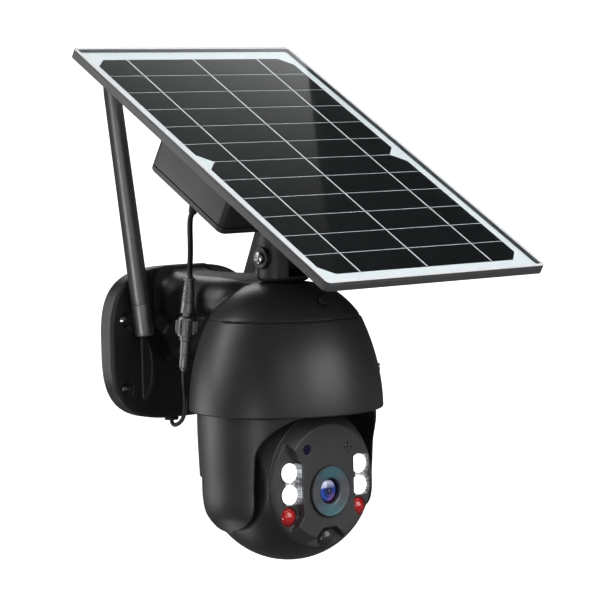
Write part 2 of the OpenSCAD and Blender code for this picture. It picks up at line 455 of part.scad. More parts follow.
module pir_lens() color([0.3, 0.3, 0.3]) at_head() translate([0, -31.6, pir_z]) rotate([90, 0, 0]) {
  cylinder(h = 4.5, r = 5.6, $fn = 48); translate([0, 0, 4.4]) intersection() { translate([0, 0, -0.6]) sphere(r = 6.55, $fn = 48); cylinder(h = 8, r = 6.5, $fn = 48); }
}
module microphone() color([0.7, 0.7, 0.68]) at_head() translate([17.5, -34.5, 21.6]) rotate([90, 0, 0]) cylinder(h = 5.4, r = 4.8, $fn = 48);
module head_screws() color([0.6, 0.6, 0.6]) at_head() for (x = [-20, 20], z = [-30, 30]) translate([x, 36.2, z]) rotate([-90, 0, 0])
  screw(2.9, 2.2, 1.5, 66);
module tilt_motor() color([0.66, 0.66, 0.64]) at_head() {
  translate([21, 0, -8]) rotate([0, 90, 0]) cylinder(h = 19, r = 13.6);
  rotate([0, 90, 0]) translate([0, 0, 39]) cylinder(h = 1.9, r = 4.5);
  rotate([0, 90, 0]) translate([0, 0, 39]) cylinder(h = 9, r = 2.49);
  translate([39, -3.5, -26.5]) cube([1, 7, 37]);
}

// ---------------------------------------------------------------- swivel and panel
module neck_round() rotate_extrude($fn = 128) polygon([[0, 0], [14.5, 0], [16.4, 0.7], [17.6, 2], [18, 3.8], [18, 40], [0, 40]]);
module swivel_neck() color([0.17, 0.17, 0.18]) at_pan() difference() {
  union() {
    translate([0, 0, 52.2]) intersection() {
      neck_round();
      translate([0, 0, bolt_z - 52.2]) union() { rotate([0, 90, 0]) cylinder(h = 60, r = 15.5, center = true); translate([-30, -30, -40]) cube([60, 60, 40]); }
    }
    for (s = [-1, 1]) translate([0, 0, bolt_z]) rotate([0, s * 90, 0]) translate([0, 0, 12]) cylinder(h = 9, r = 7.4);
    translate([0, 0, 45.3]) cylinder(h = 7.1, r = 9.95);
    translate([0, 0, 38.5]) cylinder(h = 7, r = 7.95);
  }
  translate([-8.3, -40, 56]) cube([16.6, 80, 60]);
  translate([0, 0, bolt_z]) rotate([0, 90, 0]) cylinder(h = 80, r = 2.5, center = true);
  translate([0, 0, 30]) cylinder(h = 30, r = 4);
}
module swivel_nut() color([0.6, 0.6, 0.58]) at_pan() translate([0, 0, 39.6]) difference() { cylinder(h = 5.5, r = 13.8); translate([0, 0, -1]) cylinder(h = 8, r = 8); }
module hinge_bolt() color([0.8, 0.8, 0.8]) at_pan() translate([-24.2, 0, bolt_z]) rotate([0, -90, 0]) screw(4.3, 3, 2.5, 47);
module hinge_nut() color([0.78, 0.78, 0.78]) at_pan() translate([21.1, 0, bolt_z]) rotate([0, 90, 0]) difference() {
  cylinder(h = 4, r = 4.7, $fn = 6); translate([0, 0, -1]) cylinder(h = 6, r = 2.5);
}
box_b = -44.9; box_y0 = -24.5; box_y1 = 61.5; box_x = 75.5;
module panel_bracket() color([0.17, 0.17, 0.18]) at_panel() translate([0, -pan_dv, 0]) difference() {
  union() {
    translate([0, 0, -pan_dn]) rotate([0, 90, 0]) cylinder(h = 15.9, r = 12.6, center = true);
    translate([-7.95, -11, -pan_dn]) cube([15.9, 22, pan_dn + box_b - 3]);
    translate([0, 0, box_b - 4]) linear_extrude(4) translate([0, 2]) polygon(rr(-26, -11, 26, 20, 4, 4));
    for (s = [-1, 1]) translate([0, 11, box_b - 3.9]) rotate([0, 90, 0]) linear_extrude(3, center = true) polygon([[0, 0], [0, 9], [12, 0]]);
  }
  translate([0, 0, -pan_dn]) rotate([0, 90, 0]) cylinder(h = 40, r = 2.56, center = true);
  for (x = [-19, 19]) translate([x, 6, box_b - 6]) cylinder(h = 8, r = 1.8);
}
module panel_frame() color([0.42, 0.42, 0.42]) at_panel() difference() {
  translate([0, 0, -7]) linear_extrude(7) polygon(rr(-panel_w / 2, -panel_l / 2, panel_w / 2, panel_l / 2, 3.5, 3.5));
  translate([-panel_w / 2 + 2.4, -panel_l / 2 + 2.4, -4.4]) cube([panel_w - 4.8, panel_l - 4.8, 10]);
  translate([-panel_w / 2 + 9, -panel_l / 2 + 9, -20]) cube([panel_w - 18, panel_l - 18, 40]);
  translate([-panel_w / 2 + 2, -panel_l / 2 + 2, -5.6 - 10]) cube([panel_w - 4, panel_l - 4, 10]);
}
module panel_glass() color([0.6, 0.7, 0.8]) at_panel() translate([-panel_w / 2 + 2.4, -panel_l / 2 + 2.4, -2.9]) cube([panel_w - 4.8, panel_l - 4.8, 2.6]);
cell_w = 176.3; cell_p = (panel_l - 24.9) / 12; cell_h = cell_p - 0.9;
module solar_cells() color([0.05, 0.05, 0.07]) at_panel() for (i = [0:11]) let (top = i == 0 || i == 6, bot = i == 5 || i == 11, h = cell_h, w = cell_w / 2, c = 8.6, y = panel_l / 2 - 12 - (i + 1) * cell_p)
  translate([0, y, -3.2]) linear_extrude(0.3) polygon(concat(
    bot ? [[-w + 9, 0], [w - 9, 0], [w, c]] : [[-w, 0], [w, 0]],
    top ? [[w, h - c], [w - 9, h], [-w + 9, h], [-w, h - c]] : [[w, h], [-w, h]],
    bot ? [[-w, c]] : []));
module back_sheet() color([0.9, 0.9, 0.9]) at_panel() translate([-panel_w / 2 + 2.4, -panel_l / 2 + 2.4, -4.4]) cube([panel_w - 4.8, panel_l - 4.8, 1.2]);
module box_2d(k) polygon(rr(-box_x + k, box_y0 + k, box_x - k, box_y1 - k, 6 - k, 6 - k));
module battery_box() color([0.16, 0.16, 0.17]) at_panel() difference() {
  union() {
    translate([0, 0, -39.9]) linear_extrude(35.5) box_2d(0);
  }
  difference() {
    translate([0, 0, -41]) linear_extrude(34.5) box_2d(2.5);
    for (x = [-1, 1], y = [box_y0 + 6, box_y1 - 6]) translate([x * (box_x - 6), y, -42]) cylinder(h = 40, r = 4.2);
  }
  for (x = [-1, 1], y = [box_y0 + 6, box_y1 - 6]) translate([x * (box_x - 6), y, -42]) cylinder(h = 16, r = 1.2);
}
module box_lid() color([0.16, 0.16, 0.17]) at_panel() difference() {
  union() {
    translate([0, 0, -42.9]) linear_extrude(3) box_2d(0);
    translate([0, 0, -43.9]) linear_extrude(1.01) box_2d(0.5);
    translate([0, 0, -44.9]) linear_extrude(1.01) box_2d(1.6);
  }
  translate([0, 0, -42.4]) linear_extrude(4) box_2d(2.5);
  for (x = [-1, 1], y = [box_y0 + 6, box_y1 - 6]) translate([x * (box_x - 6), y, -46]) { cylinder(h = 10, r = 1.7); cylinder(h = 2.2, r = 3.1); }
  translate([-66, 16.5, -46]) cylinder(h = 10, r = 3);
  for (x = [-19, 19]) translate([x, -pan_dv + 6, -46]) cylinder(h = 6, r = 1.5);
}
module box_screws() color([0.5, 0.5, 0.5]) at_panel() for (x = [-1, 1], y = [box_y0 + 6, box_y1 - 6]) translate([x * (box_x - 6), y, -45]) rotate([180, 0, 0]) screw(2.9, 1.1, 1.2, 12);
module battery_pack() color([0.1, 0.35, 0.6]) at_panel() {
  for (x = [-66.5, 1.5], y = [2, 21, 40]) translate([x, y, -32.6]) rotate([0, 90, 0]) cylinder(h = 65, r = 9.3);
  translate([-60, 0, -42.3]) cube([120, 42, 1]);
  translate([-60, 1, -41.5]) cube([120, 2, 3]); translate([-60, 39, -41.5]) cube([120, 2, 3]); translate([-60, 20, -41.5]) cube([120, 2, 3]);
  translate([-10, 2, -34]) cube([20, 38, 3]);
}
module charge_board() color([0.05, 0.32, 0.16]) at_panel() translate([-40, -4, -16]) { cube([80, 50, 1.6]); translate([10, 8, 1.5]) cube([14, 14, 6]); translate([3, 3, 1.5]) cylinder(h = 7.6, r = 2.5); translate([77, 47, 1.5]) cylinder(h = 7.6, r = 2.5); translate([3, 47, 1.5]) cylinder(h = 7.6, r = 2.5); translate([77, 3, 1.5]) cylinder(h = 7.6, r = 2.5); }
module lead_gland() color([0.07, 0.07, 0.075]) at_panel() translate([-66, 16.5, -44.9]) difference() {
  union() { translate([0, 0, -3]) cylinder(h = 3, r = 4.4, $fn = 6); translate([0, 0, -8]) cylinder(h = 5.1, r1 = 2.7, r2 = 3.7, $fn = 48); translate([0, 0, -e]) cylinder(h = 2.45, r = 2.98, $fn = 48); }
}
module power_lead() color([0.06, 0.06, 0.06]) tube(lead_top, 1.9);

// ---------------------------------------------------------------- antennas
module rod() difference() {
  rotate_extrude($fn = 64) polygon([[0, -9], [4.6, -9], [6, -8.2], [6.7, -6.5], [6.75, 13.4], [6.2, 13.9], [6.2, 14.6], [6.65, 15.1],
    [5.95, ant_l - 8], [5.6, ant_l - 3], [4.4, ant_l - 0.9], [2.6, ant_l], [0, ant_l]]);
  rotate([90, 0, 0]) translate([0, 0, -10]) cylinder(h = 14, r = 2.52);
}
module antenna_left() color([0.1, 0.1, 0.105]) translate([-piv_x, piv_y, piv_z]) rotate([0, -ant_left_lean, 0]) rod();
module antenna_right() color([0.1, 0.1, 0.105]) translate([piv_x, piv_y, piv_z]) rotate([0, ant_right_lean, 0]) rod();

wall_plate();
wall_gasket();
arm_screws();
arm_cap();
dome_skirt();
skirt_seal();
chassis_plate();
skirt_screws();
main_board();
lte_module();
speaker();
pan_motor();
pan_pinion();
pan_bearing();
cap_plug();
antenna_pins();
pigtail_gland();
pigtail();
connector_socket();
connector_nut();
connector_plug();
yoke();
pan_gear();
tilt_pivots();
head_shell();
face_plate();
lens_cover();
lens_barrel();
lens_glass();
sensor_board();
led_boards();
led_reflectors();
white_leds();
lamp_lenses();
red_leds();
light_sensor();
pir_lens();
microphone();
head_screws();
tilt_motor();
card_cover();
reset_button();
swivel_neck();
swivel_nut();
hinge_bolt();
hinge_nut();
panel_bracket();
panel_frame();
panel_glass();
solar_cells();
back_sheet();
battery_box();
box_lid();
box_screws();
battery_pack();
charge_board();
lead_gland();
power_lead();
antenna_left();
antenna_right();
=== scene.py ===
import bpy, bmesh, json, math
import numpy as np
from mathutils import Matrix, Vector

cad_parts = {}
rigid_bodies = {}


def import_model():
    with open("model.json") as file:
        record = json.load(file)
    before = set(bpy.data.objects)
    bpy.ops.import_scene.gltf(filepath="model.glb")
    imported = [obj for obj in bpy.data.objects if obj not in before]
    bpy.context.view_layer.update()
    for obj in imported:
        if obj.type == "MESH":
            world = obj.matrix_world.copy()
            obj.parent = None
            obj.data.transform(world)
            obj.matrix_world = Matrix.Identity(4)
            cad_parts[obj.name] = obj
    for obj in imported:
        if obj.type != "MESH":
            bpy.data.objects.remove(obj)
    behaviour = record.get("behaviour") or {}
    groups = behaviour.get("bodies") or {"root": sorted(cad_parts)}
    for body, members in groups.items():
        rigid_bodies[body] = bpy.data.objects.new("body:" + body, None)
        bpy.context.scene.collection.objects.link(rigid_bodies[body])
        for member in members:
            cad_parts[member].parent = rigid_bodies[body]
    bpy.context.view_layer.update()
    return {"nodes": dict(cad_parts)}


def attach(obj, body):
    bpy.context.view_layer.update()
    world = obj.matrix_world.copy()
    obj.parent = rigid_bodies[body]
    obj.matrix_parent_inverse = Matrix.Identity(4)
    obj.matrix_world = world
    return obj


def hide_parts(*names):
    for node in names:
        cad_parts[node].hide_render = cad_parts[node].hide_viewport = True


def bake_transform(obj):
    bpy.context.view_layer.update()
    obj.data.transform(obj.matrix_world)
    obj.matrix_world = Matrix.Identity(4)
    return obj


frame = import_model()
NODES = frame["nodes"]
MM = 0.001
rad = math.radians

# ------------------------------------------------------------------ camera
def camera():
    az, el, ro = rad(-41.574), rad(4.2), rad(-1.332)
    back = Vector((math.sin(az) * math.cos(el), -math.cos(az) * math.cos(el), math.sin(el)))
    fwd = -back
    right = Vector((math.cos(az), math.sin(az), 0))
    up = right.cross(fwd)
    r2 = math.cos(ro) * right + math.sin(ro) * up
    u2 = -math.sin(ro) * right + math.cos(ro) * up
    cd = bpy.data.cameras.new("camera")
    cam = bpy.data.objects.new("camera", cd)
    bpy.context.scene.collection.objects.link(cam)
    m = Matrix((r2, u2, -fwd)).transposed().to_4x4()
    m.translation = Vector((-1.16283, -1.44747, 0.16851))
    cam.matrix_world = m
    cd.lens, cd.sensor_width = 156.0, 36.0
    cd.clip_start, cd.clip_end = 0.05, 50
    bpy.context.scene.camera = cam
camera()

# ------------------------------------------------------------------ materials
def new_mat(name):
    m = bpy.data.materials.new(name)
    m.use_nodes = True
    nt = m.node_tree
    for n in list(nt.nodes):
        nt.nodes.remove(n)
    out = nt.nodes.new("ShaderNodeOutputMaterial")
    b = nt.nodes.new("ShaderNodeBsdfPrincipled")
    nt.links.new(b.outputs[0], out.inputs[0])
    return m, nt, b, out

def N(nt, kind, **kw):
    n = nt.nodes.new(kind)
    for k, v in kw.items():
        if k == "inp":
            for a, c in v.items():
                n.inputs[a].default_value = c
        else:
            setattr(n, k, v)
    return n

def coords(nt, scale=(1, 1, 1), loc=(0, 0, 0), rot=(0, 0, 0)):
    tc = nt.nodes.new("ShaderNodeTexCoord")
    mp = nt.nodes.new("ShaderNodeMapping")
    mp.inputs["Scale"].default_value = scale
    mp.inputs["Location"].default_value = loc
    mp.inputs["Rotation"].default_value = rot
    nt.links.new(tc.outputs["Object"], mp.inputs[0])
    return mp.outputs[0]

def noise(nt, vec, scale, detail=2.0, rough=0.5):
    n = N(nt, "ShaderNodeTexNoise")
    n.inputs["Scale"].default_value = scale
    n.inputs["Detail"].default_value = detail
    n.inputs["Roughness"].default_value = rough
    nt.links.new(vec, n.inputs["Vector"])
    return n.outputs["Fac"]

def remap(nt, src, a, b, c, d):
    m = N(nt, "ShaderNodeMapRange")
    for k, v in zip(("From Min", "From Max", "To Min", "To Max"), (a, b, c, d)):
        m.inputs[k].default_value = v
    nt.links.new(src, m.inputs["Value"])
    return m.outputs["Result"]

def mixc(nt, fac, a, b):
    m = N(nt, "ShaderNodeMix", data_type="RGBA")
    for s, v in ((6, a), (7, b)):
        if isinstance(v, tuple):
            m.inputs[s].default_value = (*v, 1)
        else:
            nt.links.new(v, m.inputs[s])
    if isinstance(fac, (int, float)):
        m.inputs[0].default_value = fac
    else:
        nt.links.new(fac, m.inputs[0])
    return m.outputs[2]

def math_n(nt, op, a, b=None, c=None, clamp=False):
    m = N(nt, "ShaderNodeMath", operation=op, use_clamp=clamp)
    for i, v in enumerate((a, b, c)):
        if v is None:
            continue
        if isinstance(v, (int, float)):
            m.inputs[i].default_value = v
        else:
            nt.links.new(v, m.inputs[i])
    return m.outputs[0]

def bump(nt, bsdf, height, strength, dist, prev=None):
    b = N(nt, "ShaderNodeBump")
    b.inputs["Strength"].default_value = strength
    b.inputs["Distance"].default_value = dist
    nt.links.new(height, b.inputs["Height"])
    if prev is not None:
        nt.links.new(prev, b.inputs["Normal"])
    nt.links.new(b.outputs[0], bsdf.inputs["Normal"])
    return b.outputs[0]

def plastic(name, col, r0, r1, grain=0.35, grain_mm=0.45, var=0.16, spec=0.5, dust=0.0, ior=1.5):
    """moulded plastic: fine spark-eroded grain, slow colour drift, handling marks in the gloss"""
    m, nt, b, _ = new_mat(name)
    v = coords(nt)
    slow = noise(nt, v, 28, 3)
    dark = tuple(c * (1 - var) for c in col)
    lite = tuple(c * (1 + var) for c in col)
    c = mixc(nt, remap(nt, slow, 0.35, 0.65, 0, 1), dark, lite)
    if dust:
        d = noise(nt, v, 900, 4, 0.7)
        c = mixc(nt, remap(nt, d, 0.66, 0.8, 0, dust), c, tuple(min(1, x * 3 + 0.04) for x in col))
    nt.links.new(c, b.inputs["Base Color"])
    smear = noise(nt, coords(nt, (1, 1, 0.35)), 60, 5, 0.62)
    fine = noise(nt, v, 1000 / grain_mm, 2, 0.6)
    rr = math_n(nt, "ADD", remap(nt, smear, 0.3, 0.7, r0, r1), remap(nt, fine, 0.3, 0.7, -0.03, 0.03))
    nt.links.new(rr, b.inputs["Roughness"])
    b.inputs["Specular IOR Level"].default_value = spec
    b.inputs["IOR"].default_value = ior
    bump(nt, b, fine, grain, 0.00002 * grain_mm / 0.45)
    return m

def metal(name, col, rough, aniso_scale=(1, 1, 1), scratch=0.25):
    m, nt, b, _ = new_mat(name)
    v = coords(nt, aniso_scale)
    br = noise(nt, v, 900, 3, 0.7)
    slow = noise(nt, coords(nt), 90, 2)
    nt.links.new(mixc(nt, remap(nt, slow, 0.3, 0.7, 0, 1), tuple(c * 0.86 for c in col), col), b.inputs["Base Color"])
    nt.links.new(remap(nt, br, 0.3, 0.7, rough * 0.75, rough * 1.35), b.inputs["Roughness"])
    b.inputs["Metallic"].default_value = 1
    bump(nt, b, br, scratch, 0.00002)
    return m

M = {}
M["housing"] = plastic("housing_plastic_m", (0.0185, 0.0185, 0.0195), 0.37, 0.43)
M["face"] = plastic("face_plastic_m", (0.034, 0.034, 0.036), 0.42, 0.50, grain=0.4)
M["plate"] = plastic("plate_plastic_m", (0.0175, 0.0175, 0.0185), 0.40, 0.47)
M["inner"] = plastic("inner_plastic_m", (0.02, 0.02, 0.021), 0.5, 0.6)
M["rubber"] = plastic("rubber_m", (0.012, 0.012, 0.0125), 0.62, 0.75, grain=0.6, grain_mm=0.3)
M["jacket"] = plastic("jacket_m", (0.014, 0.014, 0.0145), 0.36, 0.44, grain=0.3, grain_mm=0.6)
M["conn"] = plastic("connector_m", (0.014, 0.014, 0.015), 0.36, 0.42, grain=0.3, spec=1.0, ior=2.0)
M["antenna"] = plastic("antenna_m", (0.013, 0.013, 0.0135), 0.42, 0.48, grain=0.25, spec=1.0, ior=2.2)
M["steel"] = metal("steel_m", (0.62, 0.62, 0.60), 0.24)
M["can"] = metal("can_m", (0.56, 0.56, 0.54), 0.32)
M["gear"] = plastic("gear_nylon_m", (0.72, 0.69, 0.6), 0.38, 0.46, var=0.05)
M["button"] = plastic("button_m", (0.45, 0.03, 0.025), 0.35, 0.42, var=0.08)
M["chrome"] = metal("reflector_chrome_m", (0.86, 0.87, 0.9), 0.09, scratch=0.08)

def board_mat():
    m, nt, b, _ = new_mat("circuit_board_m")
    v = coords(nt)
    br = N(nt, "ShaderNodeTexBrick", offset=0.5)
    br.inputs["Scale"].default_value = 420
    br.inputs["Mortar Size"].default_value = 0.03
    nt.links.new(v, br.inputs["Vector"])
    c = mixc(nt, br.outputs["Fac"], (0.012, 0.10, 0.045), (0.03, 0.2, 0.09))
    nt.links.new(c, b.inputs["Base Color"])
    nt.links.new(remap(nt, noise(nt, v, 700, 2), 0.3, 0.7, 0.25, 0.4), b.inputs["Roughness"])
    return m
M["board"] = board_mat()

def led_board_mat():
    m, nt, b, _ = new_mat("led_board_m")
    v = coords(nt)
    nt.links.new(mixc(nt, noise(nt, v, 300), (0.6, 0.6, 0.57), (0.75, 0.75, 0.72)), b.inputs["Base Color"])
    b.inputs["Roughness"].default_value = 0.4
    return m
M["ledboard"] = led_board_mat()

def glow_mat():
    """lit collimator lens: clear ribbed optic over a white emitter"""
    m, nt, b, _ = new_mat("lamp_lens_m")
    v = coords(nt)
    n1 = noise(nt, v, 700, 2)
    nt.links.new(mixc(nt, n1, (0.9, 0.93, 0.97), (1, 1, 1)), b.inputs["Base Color"])
    b.inputs["Roughness"].default_value = 0.12
    nt.links.new(mixc(nt, n1, (0.93, 0.96, 1.0), (1, 1, 1)), b.inputs["Emission Color"])
    b.inputs["Emission Strength"].default_value = 1.15
    return m
M["glow"] = glow_mat()

def red_mat():
    m, nt, b, _ = new_mat("red_led_m")
    v = coords(nt)
    n1 = noise(nt, v, 400, 3, 0.6)
    fr = N(nt, "ShaderNodeLayerWeight")
    fr.inputs["Blend"].default_value = 0.35
    # painted highlight and shade: red is lighter where the dome faces the viewer and near black towards its rim; this
    # colour also feeds the faint glow
    c = mixc(nt, fr.outputs["Facing"], (0.40, 0.008, 0.010), (0.018, 0.0006, 0.001))
    c = mixc(nt, remap(nt, n1, 0.45, 0.75, 0, 0.35), c, (0.62, 0.06, 0.05))
    nt.links.new(c, b.inputs["Base Color"])
    b.inputs["Roughness"].default_value = 0.08
    b.inputs["Coat Weight"].default_value = 0.35
    b.inputs["Coat Roughness"].default_value = 0.03
    nt.links.new(c, b.inputs["Emission Color"])
    b.inputs["Emission Strength"].default_value = 0.06
    return m
M["red"] = red_mat()

def liner_mat():
    """vacuum metallised liner with painted lamp light: bright rays painted round each lamp that die away within a few
    millimetres, with a matching painted glow
    """
    m, nt, b, _ = new_mat("pocket_liner_painted_glow_m")
    tc = nt.nodes.new("ShaderNodeTexCoord")
    s = N(nt, "ShaderNodeSeparateXYZ")
    nt.links.new(tc.outputs["Object"], s.inputs[0])
    ax = math_n(nt, "SUBTRACT", math_n(nt, "MULTIPLY", math_n(nt, "ABSOLUTE", s.outputs[0]), 1000), 31.5)
    out = None
    for zc in (8.7, -6.1):
        dz = math_n(nt, "MULTIPLY", math_n(nt, "SUBTRACT", s.outputs[2], (-81.5 + zc) * MM), 1000)
        r = math_n(nt, "SQRT", math_n(nt, "ADD", math_n(nt, "MULTIPLY", ax, ax), math_n(nt, "MULTIPLY", dz, dz)))
        a = math_n(nt, "ARCTAN2", dz, ax)
        wn = N(nt, "ShaderNodeTexNoise", noise_dimensions="1D")
        wn.inputs["Scale"].default_value = 5.5
        wn.inputs["Detail"].default_value = 2
        nt.links.new(math_n(nt, "ADD", a, zc), wn.inputs["W"])
        ray = remap(nt, wn.outputs["Fac"], 0.36, 0.64, 0.25, 1.0)
        fall = remap(nt, r, 6.2, 12.5, 1.0, 0.0)
        fall = math_n(nt, "POWER", fall, 1.5)
        v = math_n(nt, "MULTIPLY", ray, fall)
        out = v if out is None else math_n(nt, "MAXIMUM", out, v)
    # painted light: the lamp rays are mixed into the base colour
    c = mixc(nt, out, (0.045, 0.046, 0.05), (0.90, 0.92, 0.95))
    nt.links.new(c, b.inputs["Base Color"])
    nt.links.new(remap(nt, out, 0, 1, 0.3, 0.22), b.inputs["Roughness"])
    b.inputs["Metallic"].default_value = 0.35
    nt.links.new(c, b.inputs["Emission Color"])
    # painted glow: emission follows the painted rays, so the liner glows though it is no lamp
    nt.links.new(math_n(nt, "MULTIPLY", out, 0.45), b.inputs["Emission Strength"])
    return m
M["liner"] = liner_mat()

def radial(nt, cx, cy, cz):
    """distance in the XZ plane from a point, in mm"""
    tc = nt.nodes.new("ShaderNodeTexCoord")
    s = N(nt, "ShaderNodeSeparateXYZ")
    nt.links.new(tc.outputs["Object"], s.inputs[0])
    dx = math_n(nt, "MULTIPLY", math_n(nt, "SUBTRACT", s.outputs[0], cx * MM), 1000)
    dz = math_n(nt, "MULTIPLY", math_n(nt, "SUBTRACT", s.outputs[2], cz * MM), 1000)
    r = math_n(nt, "SQRT", math_n(nt, "ADD", math_n(nt, "MULTIPLY", dx, dx), math_n(nt, "MULTIPLY", dz, dz)))
    return dx, dz, r

LZ = -81.5 - 6.3
def ramp(nt, fac, stops):
    r = nt.nodes.new("ShaderNodeValToRGB")
    el = r.color_ramp.elements
    el[0].position, el[0].color = stops[0][0], (*stops[0][1], 1)
    el[1].position, el[1].color = stops[-1][0], (*stops[-1][1], 1)
    for p, c in stops[1:-1]:
        e = el.new(p)
        e.color = (*c, 1)
    nt.links.new(fac, r.inputs[0])
    return r.outputs[0]

def ring_mat():
    """coated cover ring: painted teal reflection above and below, neutral grey at the sides, dark outline"""
    m, nt, b, _ = new_mat("lens_ring_painted_reflection_m")
    dx, dz, r = radial(nt, 0, 0, LZ)
    teal_reflection_fac = math_n(nt, "DIVIDE", math_n(nt, "ABSOLUTE", dz), math_n(nt, "ADD", r, 0.01))
    # painted reflection: the colour turns teal towards the top and bottom of the ring
    c = ramp(nt, teal_reflection_fac, [(0.0, (0.066, 0.067, 0.067)), (0.45, (0.056, 0.064, 0.067)), (0.8, (0.042, 0.092, 0.107)), (1.0, (0.032, 0.118, 0.14))])
    n1 = noise(nt, coords(nt), 400, 2)
    c = mixc(nt, remap(nt, n1, 0.3, 0.7, 0, 0.25), c, (0.12, 0.12, 0.16))
    edge = remap(nt, r, 16.2, 17.1, 0, 1)
    inner = remap(nt, r, 9.6, 8.5, 0, 1)
    c = mixc(nt, edge, c, (0.008, 0.008, 0.009))
    c = mixc(nt, inner, c, (0.01, 0.012, 0.02))
    nt.links.new(c, b.inputs["Base Color"])
    b.inputs["Roughness"].default_value = 0.42
    b.inputs["Coat Weight"].default_value = 0.15
    b.inputs["Coat Roughness"].default_value = 0.2
    return m
M["ring"] = ring_mat()

def lens_mat():
    m, nt, b, _ = new_mat("lens_glass_painted_light_m")
    dx, dz, r = radial(nt, 0, 0, LZ)
    rn = math_n(nt, "DIVIDE", r, 8.2)
    # radial bands: blue coating and barrel rings; the bright stop at the centre is a painted glint
    c = ramp(nt, rn, [(0.0, (0.35, 0.4, 0.6)), (0.07, (0.02, 0.03, 0.12)), (0.25, (0.004, 0.006, 0.02)), (0.42, (0.02, 0.05, 0.28)), (0.5, (0.01, 0.02, 0.1)),
                      (0.68, (0.03, 0.10, 0.55)), (0.82, (0.02, 0.05, 0.3)), (0.93, (0.01, 0.012, 0.04)), (1.0, (0.004, 0.004, 0.006))])
    # painted reflection: pinkish tint on the lower right
    painted_reflection_mask = math_n(nt, "MULTIPLY", remap(nt, dz, -1.0, -6.0, 0, 1), remap(nt, dx, -2, 4, 0, 1), clamp=True)
    c = mixc(nt, math_n(nt, "MULTIPLY", painted_reflection_mask, 0.6), c, (0.55, 0.16, 0.42))
    # painted highlight: white-grey patch across the top
    painted_highlight_mask = math_n(nt, "MULTIPLY", remap(nt, dz, 1.5, 5.5, 0, 1), remap(nt, rn, 0.97, 0.8, 0, 1), clamp=True)
    c = mixc(nt, math_n(nt, "MULTIPLY", painted_highlight_mask, 0.75), c, (0.62, 0.62, 0.74))
    nt.links.new(c, b.inputs["Base Color"])
    nt.links.new(remap(nt, noise(nt, coords(nt), 900, 2), 0.3, 0.7, 0.05, 0.09), b.inputs["Roughness"])
    b.inputs["Coat Weight"].default_value = 1.0
    b.inputs["Coat Roughness"].default_value = 0.02
    return m
M["lens"] = lens_mat()

def sensor_mat():
    m, nt, b, _ = new_mat("light_sensor_m")
    n1 = noise(nt, coords(nt), 500, 2)
    nt.links.new(mixc(nt, n1, (0.002, 0.002, 0.008), (0.008, 0.006, 0.04)), b.inputs["Base Color"])
    b.inputs["Roughness"].default_value = 0.12
    return m
M["sensor"] = sensor_mat()
M["black"] = plastic("lens_black_m", (0.008, 0.008, 0.01), 0.4, 0.5)

def pir_mat():
    m, nt, b, _ = new_mat("pir_lens_m")
    v = coords(nt)
    vo = N(nt, "ShaderNodeTexVoronoi", feature="DISTANCE_TO_EDGE")
    vo.inputs["Scale"].default_value = 420
    vo.inputs["Randomness"].default_value = 0.15
    nt.links.new(v, vo.inputs["Vector"])
    nt.links.new(mixc(nt, noise(nt, v, 200), (0.022, 0.022, 0.024), (0.035, 0.035, 0.037)), b.inputs["Base Color"])
    b.inputs["Roughness"].default_value = 0.17
    bump(nt, b, remap(nt, vo.outputs["Distance"], 0, 0.08, 0, 1), 0.12, 0.00006)
    return m
M["pir"] = pir_mat()

# panel coordinates: X across, Y up the slope, Z out of the glass
PM = Matrix.Translation((0, -0.120, 0.069)) @ Matrix.Rotation(rad(31), 4, "X") @ Matrix.Translation((0, 0.0131, 0.0728))

def panel_uv(nt):
    tc = nt.nodes.new("ShaderNodeTexCoord")
    a = N(nt, "ShaderNodeVectorMath", operation="SUBTRACT")
    nt.links.new(tc.outputs["Object"], a.inputs[0])
    a.inputs[1].default_value = PM.translation
    outs = []
    for i in range(3):
        d = N(nt, "ShaderNodeVectorMath", operation="DOT_PRODUCT")
        nt.links.new(a.outputs[0], d.inputs[0])
        d.inputs[1].default_value = Vector([PM[j][i] for j in range(3)]) * 1000
        outs.append(d.outputs["Value"])
    return outs

def frame_mat():
    """dark rail whose thin top lip is a light silver grey"""
    m, nt, b, _ = new_mat("frame_aluminium_m")
    u, w, z = panel_uv(nt)
    v = coords(nt)
    n1 = noise(nt, v, 900, 3, 0.6)
    side = mixc(nt, n1, (0.055, 0.055, 0.057), (0.085, 0.085, 0.088))
    lip = mixc(nt, n1, (0.52, 0.53, 0.55), (0.62, 0.63, 0.65))
    nt.links.new(mixc(nt, remap(nt, z, -0.75, -0.35, 0, 1), side, lip), b.inputs["Base Color"])
    nt.links.new(remap(nt, n1, 0.3, 0.7, 0.3, 0.46), b.inputs["Roughness"])
    b.inputs["Metallic"].default_value = 0.2
    bump(nt, b, noise(nt, v, 1600, 2), 0.15, 0.00003)
    return m
M["frame"] = frame_mat()

